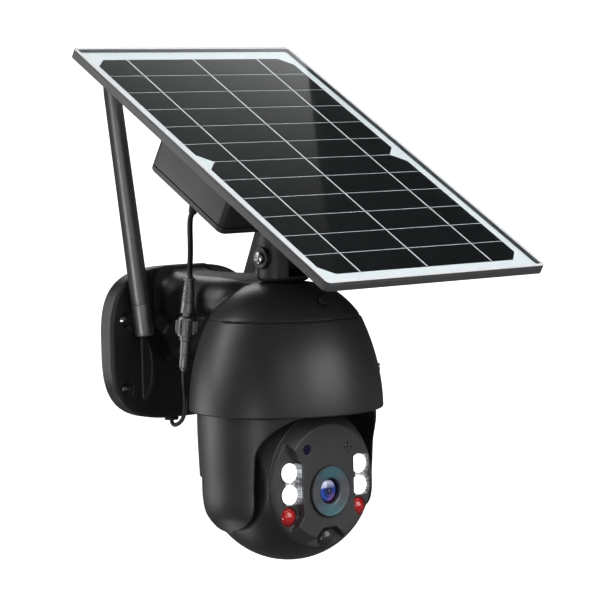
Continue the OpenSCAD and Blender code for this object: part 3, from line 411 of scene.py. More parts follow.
def cell_mat():
    """mono silicon: near black, blue-grey sheen, hairline silver fingers, a slight tone change from strip to strip"""
    m, nt, b, _ = new_mat("solar_cell_m")
    u, w, _z = panel_uv(nt)
    pitch = (295 - 24.9) / 12
    strip = math_n(nt, "FLOOR", math_n(nt, "DIVIDE", math_n(nt, "SUBTRACT", 147.5 - 12, w), pitch))
    wn = N(nt, "ShaderNodeTexWhiteNoise", noise_dimensions="1D")
    nt.links.new(strip, wn.inputs["W"])
    base = mixc(nt, wn.outputs["Value"], (0.0018, 0.0019, 0.0024), (0.0030, 0.0031, 0.0040))
    grain = noise(nt, coords(nt), 160, 4, 0.6)
    base = mixc(nt, remap(nt, grain, 0.35, 0.7, 0, 0.5), base, (0.0036, 0.0038, 0.005))
    f = math_n(nt, "ABSOLUTE", math_n(nt, "SUBTRACT", math_n(nt, "FRACT", math_n(nt, "DIVIDE", w, 1.9)), 0.5))
    finger = remap(nt, f, 0.03, 0.05, 1, 0)
    base = mixc(nt, math_n(nt, "MULTIPLY", finger, 0.045), base, (0.6, 0.6, 0.62))
    nt.links.new(base, b.inputs["Base Color"])
    nt.links.new(remap(nt, grain, 0.3, 0.7, 0.28, 0.4), b.inputs["Roughness"])
    b.inputs["Specular IOR Level"].default_value = 0.25
    return m
M["cell"] = cell_mat()

def sheet_mat():
    m, nt, b, _ = new_mat("white_sheet_m")
    v = coords(nt)
    n1 = noise(nt, v, 45, 3)
    nt.links.new(mixc(nt, n1, (0.705, 0.703, 0.745), (0.762, 0.757, 0.795)), b.inputs["Base Color"])
    fine = noise(nt, v, 1500, 2)
    nt.links.new(remap(nt, fine, 0.3, 0.7, 0.35, 0.5), b.inputs["Roughness"])
    bump(nt, b, fine, 0.2, 0.00003)
    return m
M["sheet"] = sheet_mat()

def ribbon_mat():
    m, nt, b, _ = new_mat("bus_ribbon_m")
    v = coords(nt)
    n1 = noise(nt, v, 800, 3, 0.7)
    nt.links.new(mixc(nt, n1, (0.62, 0.63, 0.65), (0.80, 0.81, 0.83)), b.inputs["Base Color"])
    nt.links.new(remap(nt, n1, 0.3, 0.7, 0.3, 0.5), b.inputs["Roughness"])
    b.inputs["Metallic"].default_value = 0.25
    return m
M["ribbon"] = ribbon_mat()

def glass_mat():
    """thin clear cover glass: only its mirror shows"""
    m, nt, b, out = new_mat("panel_glass_m")
    nt.nodes.remove(b)
    tr = N(nt, "ShaderNodeBsdfTransparent")
    tr.inputs[0].default_value = (0.93, 0.955, 0.95, 1)
    gl = N(nt, "ShaderNodeBsdfGlossy")
    gl.inputs["Roughness"].default_value = 0.03
    fr = N(nt, "ShaderNodeFresnel")
    fr.inputs["IOR"].default_value = 1.5
    mx = N(nt, "ShaderNodeMixShader")
    geo = N(nt, "ShaderNodeNewGeometry")
    outside = math_n(nt, "SUBTRACT", 1.0, geo.outputs["Backfacing"])
    nt.links.new(math_n(nt, "MULTIPLY", fr.outputs[0], outside), mx.inputs[0])
    nt.links.new(tr.outputs[0], mx.inputs[1])
    nt.links.new(gl.outputs[0], mx.inputs[2])
    nt.links.new(mx.outputs[0], out.inputs[0])
    return m
M["glass"] = glass_mat()

def wrap_mat():
    m, nt, b, _ = new_mat("battery_wrap_m")
    v = coords(nt)
    nt.links.new(mixc(nt, noise(nt, v, 60), (0.03, 0.14, 0.34), (0.05, 0.2, 0.45)), b.inputs["Base Color"])
    b.inputs["Roughness"].default_value = 0.25
    bump(nt, b, noise(nt, v, 300, 2), 0.2, 0.0001)
    return m
M["wrap"] = wrap_mat()

def set_mat(o, m):
    o.data.materials.clear()
    o.data.materials.append(m)

NODE_MATS = {
    "wall_plate": "plate", "wall_gasket": "rubber", "arm_screws": "steel", "arm_cap": "housing", "dome_skirt": "housing", "skirt_seal": "rubber",
    "chassis_plate": "inner", "skirt_screws": "steel", "main_board": "board", "lte_module": "can", "speaker": "black", "pan_motor": "can",
    "pan_pinion": "gear", "pan_bearing": "steel", "cap_plug": "rubber", "antenna_pins": "steel", "pigtail_gland": "rubber", "pigtail": "jacket",
    "connector_socket": "conn", "connector_nut": "conn", "connector_plug": "conn", "yoke": "housing", "pan_gear": "gear", "tilt_pivots": "steel",
    "head_shell": "housing", "face_plate": "face", "lens_cover": "ring", "lens_barrel": "black", "lens_glass": "lens", "sensor_board": "board",
    "led_boards": "ledboard", "led_reflectors": "chrome", "white_leds": "glow", "lamp_lenses": "glow", "red_leds": "red", "light_sensor": "sensor",
    "pir_lens": "pir", "microphone": "can", "head_screws": "steel", "tilt_motor": "can", "card_cover": "rubber", "reset_button": "button",
    "swivel_neck": "housing", "swivel_nut": "steel", "hinge_bolt": "steel", "hinge_nut": "steel", "panel_bracket": "housing", "panel_frame": "frame",
    "panel_glass": "glass", "solar_cells": "cell", "back_sheet": "sheet", "battery_box": "housing", "box_lid": "housing", "box_screws": "steel",
    "battery_pack": "wrap", "charge_board": "board", "lead_gland": "rubber", "power_lead": "jacket", "antenna_left": "antenna", "antenna_right": "antenna",
}
for n, o in NODES.items():
    set_mat(o, M[NODE_MATS.get(n, "housing")])

# ------------------------------------------------------------------ mesh helpers
def link(me, name):
    o = bpy.data.objects.new(name, me)
    bpy.context.scene.collection.objects.link(o)
    return o

def mesh_np(name, P, faces, normals=None):
    """faces: array (n, 4) or list of arrays of equal width; P in mm"""
    me = bpy.data.meshes.new(name)
    groups = faces if isinstance(faces, list) else [faces]
    nl = sum(g.size for g in groups)
    nf = sum(len(g) for g in groups)
    me.vertices.add(len(P))
    me.vertices.foreach_set("co", (np.asarray(P, np.float64) * MM).astype(np.float32).ravel())
    me.loops.add(nl)
    me.polygons.add(nf)
    me.loops.foreach_set("vertex_index", np.concatenate([g.ravel() for g in groups]).astype(np.int32))
    st, k = [], 0
    for g in groups:
        st.append(k + np.arange(len(g)) * g.shape[1])
        k += g.size
    me.polygons.foreach_set("loop_start", np.concatenate(st).astype(np.int32))
    me.update(calc_edges=True)
    me.validate()
    me.polygons.foreach_set("use_smooth", np.ones(len(me.polygons), bool))
    if normals is not None and len(me.vertices) == len(normals):
        me.normals_split_custom_set_from_vertices([tuple(v) for v in normals])
    return link(me, name)

def sharp(o, angle=32):
    bm = bmesh.new()
    bm.from_mesh(o.data)
    bmesh.ops.recalc_face_normals(bm, faces=bm.faces)
    for f in bm.faces:
        f.smooth = True
    lim = rad(angle)
    for e in bm.edges:
        if len(e.link_faces) == 2 and e.calc_face_angle(0) > lim:
            e.smooth = False
    bm.to_mesh(o.data)
    bm.free()
    return o

# signed distances, in mm
def u(a, b, r=0.0):
    if r <= 0:
        return np.minimum(a, b)
    return np.maximum(r, np.minimum(a, b)) - np.hypot(np.maximum(r - a, 0), np.maximum(r - b, 0))
def i(a, b, r=0.0):
    if r <= 0:
        return np.maximum(a, b)
    return np.minimum(-r, np.maximum(a, b)) + np.hypot(np.maximum(r + a, 0), np.maximum(r + b, 0))
def cut(a, b, r=0.0):
    return i(a, -b, r)
def slab1(v, lo, hi):
    return np.maximum(lo - v, v - hi)
def box(x, y, z, lo, hi, r=0.0):
    q = [np.abs(v - (a + b) / 2) - (b - a) / 2 + r for v, a, b in zip((x, y, z), lo, hi)]
    out = np.sqrt(sum(np.maximum(k, 0) ** 2 for k in q))
    return out + np.minimum(np.maximum(np.maximum(q[0], q[1]), q[2]), 0) - r
def box2(x, z, x0, z0, x1, z1, r):
    qx, qz = np.abs(x - (x0 + x1) / 2) - (x1 - x0) / 2 + r, np.abs(z - (z0 + z1) / 2) - (z1 - z0) / 2 + r
    return np.hypot(np.maximum(qx, 0), np.maximum(qz, 0)) + np.minimum(np.maximum(qx, qz), 0) - r
def cyl_y(x, z, cx, cz, r):
    return np.hypot(x - cx, z - cz) - r
def poly2(x, z, pts):
    """exact signed distance to a polygon"""
    pts = [np.array(p, float) for p in pts]
    d = np.full(x.shape, 1e9)
    s = np.ones(x.shape)
    n = len(pts)
    for k in range(n):
        a, b = pts[k], pts[k - 1]
        ex, ez = b[0] - a[0], b[1] - a[1]
        wx, wz = x - a[0], z - a[1]
        t = np.clip((wx * ex + wz * ez) / (ex * ex + ez * ez), 0, 1)
        bx, bz = wx - ex * t, wz - ez * t
        d = np.minimum(d, bx * bx + bz * bz)
        c1, c2, c3 = z >= a[1], z < b[1], ex * wz > ez * wx
        s = np.where((c1 & c2 & c3) | (~c1 & ~c2 & ~c3), -s, s)
    return s * np.sqrt(d)

def grad(f, P, eps=0.02):
    g = np.empty_like(P)
    for k in range(3):
        a, b = P.copy(), P.copy()
        a[:, k] += eps
        b[:, k] -= eps
        g[:, k] = (f(a[:, 0], a[:, 1], a[:, 2]) - f(b[:, 0], b[:, 1], b[:, 2])) / (2 * eps)
    return g

CORN = [(a, b, c) for a in (0, 1) for b in (0, 1) for c in (0, 1)]
EDG = [(p, q) for p in CORN for q in CORN if p < q and sum(abs(s - t) for s, t in zip(p, q)) == 1]

def thin_out(P, Q, keep):
    """fewer, larger faces where the surface is flat or gently curved"""
    t = mesh_np("thinning", P, Q)
    m = t.modifiers.new("thin", "DECIMATE")
    m.ratio = keep
    ev = t.evaluated_get(bpy.context.evaluated_depsgraph_get())
    me = ev.to_mesh()
    co = np.empty(len(me.vertices) * 3, np.float32)
    me.vertices.foreach_get("co", co)
    me.calc_loop_triangles()
    tri = np.empty(len(me.loop_triangles) * 3, np.int32)
    me.loop_triangles.foreach_get("vertices", tri)
    ev.to_mesh_clear()
    old = t.data
    bpy.data.objects.remove(t)
    bpy.data.meshes.remove(old)
    return co.reshape(-1, 3).astype(float) / MM, tri.reshape(-1, 3)

def solid(name, f, lo, hi, h, mat, body, swaps=(), keep=0.28):
    """meshes the zero level of a distance field by surface nets on blocks near it, then slides the points onto it"""
    lo, hi = np.array(lo, float), np.array(hi, float)
    B = 8
    nb = np.ceil((hi - lo) / h / B).astype(int)
    cx = [lo[k] + (np.arange(nb[k]) + 0.5) * B * h for k in range(3)]
    G = np.meshgrid(*cx, indexing="ij")
    dc = f(*[g.ravel() for g in G]).reshape(nb)
    D = np.repeat(np.repeat(np.repeat(np.sign(dc), B, 0), B, 1), B, 2).astype(np.float32)
    D = np.pad(D, ((0, 1),) * 3, mode="edge")
    act = np.argwhere(np.abs(dc) < B * h * 0.87 * 1.3 + 0.8)
    off = np.stack(np.meshgrid(*[np.arange(B + 1)] * 3, indexing="ij"), -1).reshape(-1, 3)
    for s in range(0, len(act), 1500):
        ijk = (act[s:s + 1500, None, :] * B + off[None]).reshape(-1, 3)
        p = lo + ijk * h
        D[ijk[:, 0], ijk[:, 1], ijk[:, 2]] = f(p[:, 0], p[:, 1], p[:, 2])
    S = D < 0
    c = sum(S[a:S.shape[0] - 1 + a, b:S.shape[1] - 1 + b, d:S.shape[2] - 1 + d].astype(np.uint8) for a, b, d in CORN)
    m = (c > 0) & (c < 8)
    I = np.argwhere(m)
    idx = np.full(m.shape, -1, np.int32)
    idx[m] = np.arange(len(I))
    acc, cnt = np.zeros((len(I), 3)), np.zeros(len(I))
    for p, q in EDG:
        a = D[I[:, 0] + p[0], I[:, 1] + p[1], I[:, 2] + p[2]].astype(float)
        b = D[I[:, 0] + q[0], I[:, 1] + q[1], I[:, 2] + q[2]].astype(float)
        cr = (a < 0) != (b < 0)
        t = np.where(cr, a / np.where(cr, a - b, 1), 0)
        pos = np.array(p)[None] + t[:, None] * (np.array(q) - np.array(p))[None]
        acc[cr] += pos[cr]
        cnt[cr] += 1
    P = lo + (I + acc / cnt[:, None]) * h
    quads = []
    for ax in range(3):
        o1, o2 = (ax + 1) % 3, (ax + 2) % 3
        sl0, sl1 = [slice(1, -1)] * 3, [slice(1, -1)] * 3
        sl0[ax], sl1[ax] = slice(0, -1), slice(1, None)
        A, Bb = S[tuple(sl0)], S[tuple(sl1)]
        w = np.argwhere(A != Bb)
        base = np.ones(3, int)
        base[ax] = 0
        w2 = w + base
        def at(d1, d2):
            k = w2.copy()
            k[:, o1] += d1
            k[:, o2] += d2
            return idx[k[:, 0], k[:, 1], k[:, 2]]
        q = np.stack([at(-1, -1), at(0, -1), at(0, 0), at(-1, 0)], 1)
        inside = A[w[:, 0], w[:, 1], w[:, 2]]
        q[~inside] = q[~inside][:, ::-1]
        quads.append(q)
    Q = np.concatenate(quads)
    for _ in range(4):
        d = f(P[:, 0], P[:, 1], P[:, 2])
        g = grad(f, P)
        g2 = np.maximum((g * g).sum(1), 0.25)
        st = -(d / g2)[:, None] * g
        ln = np.linalg.norm(st, axis=1)
        st *= np.minimum(1, 0.5 * h / np.maximum(ln, 1e-9))[:, None]
        P = P + st
    P, Q = thin_out(P, Q, keep)
    for _ in range(2):
        d = f(P[:, 0], P[:, 1], P[:, 2])
        g = grad(f, P)
        st = -(d / np.maximum((g * g).sum(1), 0.25))[:, None] * g
        ln = np.linalg.norm(st, axis=1)
        P = P + st * np.minimum(1, 0.2 * h / np.maximum(ln, 1e-9))[:, None]
    g = grad(f, P, 0.05)
    ln = np.linalg.norm(g, axis=1)
    o = mesh_np(name, P, Q, g / np.maximum(ln, 1e-9)[:, None])
    o.data.materials.append(mat)
    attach(o, body)
    if swaps:
        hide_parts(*swaps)
    return o

def fine_curve(pts, n=12):
    """Catmull-Rom through the points"""
    p = [np.array(a, float) for a in pts]
    p = [2 * p[0] - p[1]] + p + [2 * p[-1] - p[-2]]
    out = []
    for k in range(1, len(p) - 2):
        for t in np.arange(n) / n:
            a, b, c, d = p[k - 1], p[k], p[k + 1], p[k + 2]
            out.append(0.5 * ((2 * b) + (-a + c) * t + (2 * a - 5 * b + 4 * c - d) * t * t + (-a + 3 * b - 3 * c + d) * t ** 3))
    out.append(p[-2])
    return np.array(out)

def rounded(prof, radii, n=6):
    """profile polygon in (r, z) with its corners rounded"""
    out = []
    m = len(prof)
    for k in range(m):
        p, a, b = np.array(prof[k], float), np.array(prof[k - 1], float), np.array(prof[(k + 1) % m], float)
        r = radii[k] if isinstance(radii, (list, tuple)) else radii
        if r <= 0:
            out.append(p)
            continue
        u1, u2 = (a - p) / np.linalg.norm(a - p), (b - p) / np.linalg.norm(b - p)
        cosA = np.clip(u1 @ u2, -1, 1)
        half = math.acos(cosA) / 2
        t = r / math.tan(half)
        t = min(t, 0.49 * np.linalg.norm(a - p), 0.49 * np.linalg.norm(b - p))
        p1, p2 = p + u1 * t, p + u2 * t
        for s in np.linspace(0, 1, n + 1):
            out.append((1 - s) ** 2 * p1 + 2 * s * (1 - s) * p + s * s * p2)
    return out

def lathe(name, prof, mat, body, mtx=Matrix.Identity(4), n=96, swaps=(), angle=34):
    """closed profile (r, z) in mm turned about the Z of mtx"""
    prof = [np.array(p, float) for p in prof]
    bm = bmesh.new()
    rings = []
    for r, z in prof:
        if r < 1e-6:
            rings.append([bm.verts.new((0, 0, z * MM))])
        else:
            rings.append([bm.verts.new((r * math.cos(2 * math.pi * k / n) * MM, r * math.sin(2 * math.pi * k / n) * MM, z * MM)) for k in range(n)])
    m = len(rings)
    for a in range(m):
        A, Bv = rings[a], rings[(a + 1) % m]
        if len(A) == 1 and len(Bv) == 1:
            continue
        for k in range(n):
            k2 = (k + 1) % n
            if len(A) == 1:
                bm.faces.new((A[0], Bv[k], Bv[k2]))
            elif len(Bv) == 1:
                bm.faces.new((A[k], A[k2], Bv[0]))
            else:
                bm.faces.new((A[k], A[k2], Bv[k2], Bv[k]))
    me = bpy.data.meshes.new(name)
    bm.to_mesh(me)
    bm.free()
    me.transform(mtx)
    o = link(me, name)
    sharp(o, angle)
    me.materials.append(mat)
    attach(o, body)
    if swaps:
        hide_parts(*swaps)
    return o

def outline(x0, y0, x1, y1, r, k=0.0, n=8):
    """rounded rectangle shrunk by k, anticlockwise"""
    r = max(r - k, 0.25)
    x0, y0, x1, y1 = x0 + k, y0 + k, x1 - k, y1 - k
    pts = []
    for cx, cy, a0 in ((x1 - r, y0 + r, -90), (x1 - r, y1 - r, 0), (x0 + r, y1 - r, 90), (x0 + r, y0 + r, 180)):
        for t in range(n + 1):
            a = rad(a0 + 90 * t / n)
            pts.append((cx + r * math.cos(a), cy + r * math.sin(a)))
    return pts

def stack(name, loops, mat, body, mtx, swaps=(), closed=False, angle=30):
    """solid through loops of (x, y, z) points; closed joins the last loop to the first, otherwise the ends are capped"""
    bm = bmesh.new()
    V = [[bm.verts.new(Vector(p) * MM) for p in lp] for lp in loops]
    m, k = len(V), len(V[0])
    for a in range(m if closed else m - 1):
        A, Bv = V[a], V[(a + 1) % m]
        for j in range(k):
            bm.faces.new((A[j], A[(j + 1) % k], Bv[(j + 1) % k], Bv[j]))
    if not closed:
        bm.faces.new(V[0][::-1])
        bm.faces.new(V[-1])
    me = bpy.data.meshes.new(name)
    bm.to_mesh(me)
    bm.free()
    me.transform(mtx)
    o = link(me, name)
    sharp(o, angle)
    me.materials.append(mat)
    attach(o, body)
    if swaps:
        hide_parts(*swaps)
    return o

# ------------------------------------------------------------------ wall plate
def superd(x, z):
    a, b, p = 66.0, 54.0, 3.2
    zz = z - 6
    s = (np.abs(x) / a) ** p + (np.abs(zz) / b) ** p + 1e-9
    k = s ** (1 / p - 1)
    gx, gz = k * (np.abs(x) / a) ** (p - 1) / a, k * (np.abs(zz) / b) ** (p - 1) / b
    return (s ** (1 / p) - 1) / np.maximum(np.hypot(gx, gz), 0.004)

def f_plate(x, y, z):
    ax = np.abs(x)
    d2 = superd(x, z)
    o = i(i(d2, -13 - y, 2.6), y, 0.5)
    o = cut(o, i(d2 + 4, -9.6 - y, 0.8), 0.4)
    for zz in (-24.5, 24.5):
        o = u(o, i(cyl_y(ax, z, 53, zz, 6.5), slab1(y, -12.2, 0), 0.3), 0.6)
    o = u(o, i(cyl_y(ax, z, 45, 22, 6.5), slab1(y, -15, -4), 0.7), 1.0)
    for zz in (22, 46):
        o = u(o, np.maximum(cyl_y(ax, z, 19, zz, 5), slab1(y, -12, -4)), 0.6)
    fin = i(i(slab1(ax, 36.2, 39.8), np.hypot(y - 6.5, z + 9) - 31, 1.2), np.maximum(slab1(y, -24, -11), slab1(z, -40, 12)), 0.8)
    o = u(o, fin, 1.4)
    for zz in (-24.5, 24.5):
        c = cyl_y(ax, z, 53, zz, 2.75)
        c = u(c, np.maximum(cyl_y(ax, z, 53, zz, 5.2), y + 10), 0)
        o = cut(o, c, 0.5)
    c = u(cyl_y(ax, z, 45, 22, 2.5), np.maximum(cyl_y(ax, z, 45, 22, 5.3), -6.8 - y), 0)
    for zz in (22, 46):
        c = u(c, u(cyl_y(ax, z, 19, zz, 1.8), np.maximum(cyl_y(ax, z, 19, zz, 3.6), -6 - y), 0), 0)
    c = u(c, cyl_y(x, z, 0, 34, 8), 0)
    c = u(c, np.maximum(np.hypot(x + 10, y + 7) - 3.5, z + 40), 0)
    return cut(o, c, 0.4)
solid("wall_plate_shell", f_plate, (-68, -26, -50), (68, 2, 62), 0.85, M["plate"], "mount_body", ["wall_plate"])

# ------------------------------------------------------------------ arm and cap
def table(pts, grid):
    c = fine_curve(pts, 16)
    order = np.argsort(c[:, 0])
    return np.interp(grid, c[order, 0], c[order, 1])
RG = np.linspace(0, 51.4, 400)
CAP_O = [(-14, 23.9), (0, 24), (14, 23.85), (20, 23.15), (26, 21.6), (32, 19.0), (37, 15.9), (41.5, 12.2), (45.3, 8.5), (48.6, 4.7), (50.6, 1.9), (51.4, 0), (51.9, -1.6)]
CAP_I = [(-13, 21.4), (0, 21.4), (13, 21.35), (18.5, 20.8), (24, 19.6), (29.5, 17.4), (34.6, 14.4), (39, 11), (43, 7.4), (46.2, 4), (48.2, 1.6), (48.9, 0), (49.5, -1.6)]
HO, HI = table(CAP_O, RG), table(CAP_I, RG)
SO, SI = np.gradient(HO, RG), np.gradient(HI, RG)
def dome(r, z, H, S, r1):
    rc = np.minimum(r, r1)
    h, s = np.interp(rc, RG, H), np.interp(rc, RG, S)
    h = h + (r - rc) * -2.3
    return (z - 27.8 - h) / np.sqrt(1 + np.minimum(s * s, 9))
YG = np.linspace(-107, -11, 400)
AY = [-12, -16, -20, -28, -46, -66, -84, -96, -106]
def arm_t(v):
    return table(list(zip(AY, v))[::-1], YG)
AW, AZ0, AZ1 = arm_t([30.4, 28.5, 27, 27.5, 30, 33.5, 35.5, 35, 31]), arm_t([13, 18, 22, 24, 26, 28, 28, 28, 28]), arm_t([61.3, 60, 57, 55.5, 55, 54.8, 54.4, 53.2, 51])
WY = [-11, -17, -24, -36, -50, -62]
def web_t(v):
    return table(list(zip(WY, v))[::-1], YG)
WW, WZ = web_t([22.5, 20, 19, 18, 17, 15]), web_t([-9.5, -6, -3, 5, 17, 27.9])
def arm_d(x, y, z, k=0.0):
    w, z0, z1 = np.interp(y, YG, AW) - k, np.interp(y, YG, AZ0) + k, np.interp(y, YG, AZ1) - k
    zc = (z0 + z1) / 2
    r = np.where(z > zc, 15.0 - k, 8.0 - k)
    qx, qz = np.abs(x) - w + r, np.abs(z - zc) - (z1 - z0) / 2 + r
    return np.hypot(np.maximum(qx, 0), np.maximum(qz, 0)) + np.minimum(np.maximum(qx, qz), 0) - r
def web_d(x, y, z):
    w, z0 = np.interp(y, YG, WW), np.interp(y, YG, WZ)
    zc, r = (z0 + 40) / 2, 6.0
    qx, qz = np.abs(x) - w + r, np.abs(z - zc) - (40 - z0) / 2 + r
    return 0.78 * (np.hypot(np.maximum(qx, 0), np.maximum(qz, 0)) + np.minimum(np.maximum(qx, qz), 0) - r)
PL = Matrix.Translation((-2, -162, 39.7)) @ Matrix.Rotation(rad(47), 4, "X")
PLI = np.array(PL.inverted())
def f_cap(x, y, z):
    r = np.hypot(x, y + 120)
    cap = i(dome(r, z, HO, SO, 51.4), 27.8 - z, 0.4)
    arm = np.maximum(arm_d(x, y, z), slab1(y, -106, -13))
    web = np.maximum(web_d(x, y, z), slab1(y, -63, -13))
    o = u(u(arm, web, 3.2), cap, 1.0)
    inner = np.maximum(dome(r, z, HI, SI, 48.9), 26 - z)
    tun = np.maximum(np.maximum(arm_d(x, y, z, 2.5), slab1(y, -86, -17)), np.maximum(30.5 - z, z - 60))
    o = cut(o, u(inner, tun, 0), 0.3)
    ring = np.maximum(np.maximum(r - 48.9, 46.9 - r), slab1(z, 24.5, 29))
    seat = np.maximum(np.maximum(r - 15, 10 - r), slab1(z, 45.5, 50.5))
    post = np.maximum(np.hypot(np.abs(x) - 33, np.abs(y + 120) - 16) - 3.2, np.maximum(29.8 - z, cap))
    o = u(u(u(o, ring, 0.3), seat, 0.3), post, 0.3)
    px, py, pz = (PLI[k][0] * x + PLI[k][1] * y + PLI[k][2] * z + PLI[k][3] for k in range(3))
    c = u(np.maximum(r - 10, 40 - z), np.maximum(np.hypot(px, py) - 2.6, slab1(pz, -8, 12)), 0)
    for zz in (22, 46):
        c = u(c, np.maximum(cyl_y(np.abs(x), z, 19, zz, 1.5), -21 - y), 0)
    c = u(c, np.maximum(cyl_y(x, z, 0, 34, 8), -22 - y), 0)
    return cut(o, c, 0.4)
solid("arm_and_cap", f_cap, (-54, -174, -12), (54, -10, 64), 0.9, M["housing"], "mount_body", ["arm_cap"])

# ------------------------------------------------------------------ dome skirt
def f_skirt(x, y, z):
    r = np.hypot(x, y + 120)
    t = np.clip((27.5 - z) / 62, -0.05, 1.05)
    R = 52.3 + 14 * (1 - (1 - t) ** 2)
    s = -28 * (1 - t) / 62
    n = np.sqrt(1 + s * s)
    d = (r - R) / n
    o = i(i(d, z - 27.5, 0.8), -34.5 - z, 0.9)
    c = u(np.maximum((r - R + 2.5) / n, z - 21.5), r - 49.1, 0)
    o = cut(o, c, 0.4)
    for a in (-40, 35, 110):
        ca, sa = math.cos(rad(a)), math.sin(rad(a))
        al, la = x * ca + (y + 120) * sa, -x * sa + (y + 120) * ca
        rr_ = 52.3 + 14 * (1 - (1 - 35.5 / 62) ** 2)
        q = np.hypot(la, z + 8)
        h = u(np.maximum(q - 1.7, 40 - al), np.maximum(q - 2.75, rr_ - 0.8 - al), 0)
        o = cut(o, h, 0.25)
    return o
solid("dome_skirt_shell", f_skirt, (-68, -188, -36), (68, -52, 29), 1.0, M["housing"], "mount_body", ["dome_skirt"])

# ------------------------------------------------------------------ yoke
def arch(x, z):
    return box2(x, z, -53, -190, 53, 46.6, 28)
def f_yoke(x, y, z):
    y, z = y + 120, z + 81.5
    r = np.hypot(x, y)
    R = np.interp(z, [-60, -48, 0, 30, 60], [60.0, 60.1, 60.2, 61.4, 61.4])
    o = i(r - R, np.sqrt(x * x + y * y + np.minimum(z, 0) ** 2) - 62.6, 2.2)
    H = np.interp(r, [0, 20, 40, 58.4, 61.4, 70], [64.5, 63.2, 57, 50, 47, 38])
    o = i(o, (z - H) * 0.93, 1.2)
    ear = u(-z, np.hypot(y, z) - 41, 9)
    o = i(o, ear, 2.2)
    o = cut(o, i(arch(x, z), y + 4, 2.0), 1.6)
    o = cut(o, np.sqrt(x * x + y * y + z * z) - 58.4, 0.8)
    o = cut(o, np.maximum(np.maximum(np.abs(x) - 52.6, np.abs(y) - 70), slab1(z, -60, 2)), 0.8)
    o = cut(o, np.maximum(r - 30, slab1(z, 40, 56)), 0)
    o = u(o, i(r - 14, slab1(z, 60, 83), 0.5), 0.5)
    o = u(o, np.maximum(r - 20, slab1(z, 60, 64.2)), 0.4)
    ax = np.abs(x)
    q = np.hypot(y, z)
    o = u(o, i(q - 13, slab1(ax, 48.4, 56.8), 0.4), 0.6)
    c = np.maximum(q - 8, slab1(ax, 42, 57.4))
    c = u(c, np.maximum(r - 7, 50 - z), 0)
    for a in (0, 120, 240):
        c = u(c, np.maximum(np.hypot(x - 10.6 * math.cos(rad(a)), y - 10.6 * math.sin(rad(a))) - 1.2, 72 - z), 0)
    return cut(o, c, 0)
solid("yoke_shell", f_yoke, (-63, -183, -124), (63, -57, 3), 0.95, M["housing"], "pan_yoke", ["yoke"])

# ------------------------------------------------------------------ head
SLAB = [(-62, 66), (-31.5, 25.5), (-22.9, 15), (-22.9, -21), (-32, -33.5), (-62, -74), (62, -74), (32, -33.5), (22.9, -21), (22.9, 15), (31.5, 25.5), (62, 66)]
NOTCH = [(-5.8, -31), (5.8, -31), (21, -44), (40, -70), (-40, -70), (-21, -44)]
def ball(x, y, z, r, f, k=0.0):
    return i(np.sqrt(x * x + y * y + z * z) - r, np.abs(x) - f, k)
def f_head(x, y, z):
    y, z = y + 120, z + 81.5
    o = cut(ball(x, y, z, 57, 47.5, 1.2), ball(x, y, z, 54.5, 45, 1), 0)
    ax, q = np.abs(x), np.hypot(y, z)
    o = u(o, np.maximum(q - 12, slab1(ax, 41, 47.4)), 0.8)
    inn = ball(x, y, z, 56, 47.5)
    rods = np.hypot(ax - 20, np.abs(z) - 30) - 4
    o = u(o, np.maximum(inn, u(np.maximum(rods, slab1(y, -33.4, 60)), box(x, y, z, (-14, 8, -56), (14, 28, -45)), 0)), 0.4)
    o = i(o, -33.5 - y, 0.3)
    c = np.maximum(q - 6.06, 38 - ax)
    s = np.hypot(ax - 20, np.abs(z) - 30)
    c = u(c, u(s - 1.6, np.maximum(s - 3.1, 34 - y), 0), 0)
    c = u(c, np.maximum(np.hypot(ax - 31.5, z + 21.2) - 6.6, y + 28), 0)
    c = u(c, np.maximum(np.hypot(x, z + 38) - 5.8, y + 28), 0)
    o = cut(o, c, 0.25)
    rec = np.maximum(box2(x, y, -12, 10, 12, 26, 1.2), -(np.sqrt(x * x + y * y + z * z) - 54.9))
    rec = np.maximum(rec, z + 30)
    o = cut(o, rec, 0.3)
    c = np.maximum(np.hypot(x + 8, y - 18) - 2.1, slab1(z, -56, -42))
    c = u(c, box(x, y, z, (-2, 14, -54), (10, 16.2, -42)), 0)
    return cut(o, c, 0.2)
solid("head_shell_ball", f_head, (-49, -155, -140), (49, -61, -23), 0.8, M["housing"], "head", ["head_shell"])

LEDS = [(31.5, 8.7), (31.5, -6.1), (31.5, -21.2)]
def f_face(x, y, z):
    y, z = y + 120, z + 81.5
    ax = np.abs(x)
    S = poly2(x, z, SLAB)
    Nn = poly2(x, z, NOTCH)
    raised = i(i(S, -Nn, 0.5), -42 - y, 0.7)
    base = -36 - y
    o = u(base, np.maximum(raised, -42 - y), 0.8)
    o = i(o, ball(x, y, z, 57, 47.5, 0.5), 0.28)
    o = i(o, y + 33.5, 0.12)
    hollow = np.maximum(np.maximum(S + 2.5, slab1(z, -26, 36)), np.maximum(-40 - y, y + 30))
    hollow = np.maximum(hollow, np.sqrt(x * x + y * y + z * z) - 54.5)
    o = cut(o, hollow, 0.2)
    q = np.hypot(x, z + 6.3)
    o = u(o, np.maximum(q - 18, slab1(y, -41.9, -37.5)), 0)
    c = q - 16
    for a, b in LEDS:
        c = u(c, np.hypot(ax - a, z - b) - 6.6, 0)
    c = u(c, np.hypot(x + 19.2, z - 23.4) - 3.5, 0)
    c = u(c, np.hypot(x, z + 38) - 5.7, 0)
    o = cut(o, c, 0.35)
    c = None
    for a, b in ((0, 0), (3, 0), (-3, 0), (0, 3), (0, -3)):
        k = np.hypot(x - 17.5 - a, z - 21.6 - b) - 0.62
        c = k if c is None else np.minimum(c, k)
    return cut(o, c, 0.12)
solid("face_plate_moulding", f_face, (-49, -164, -126), (49, -152, -37), 0.42, M["face"], "head", ["face_plate"])

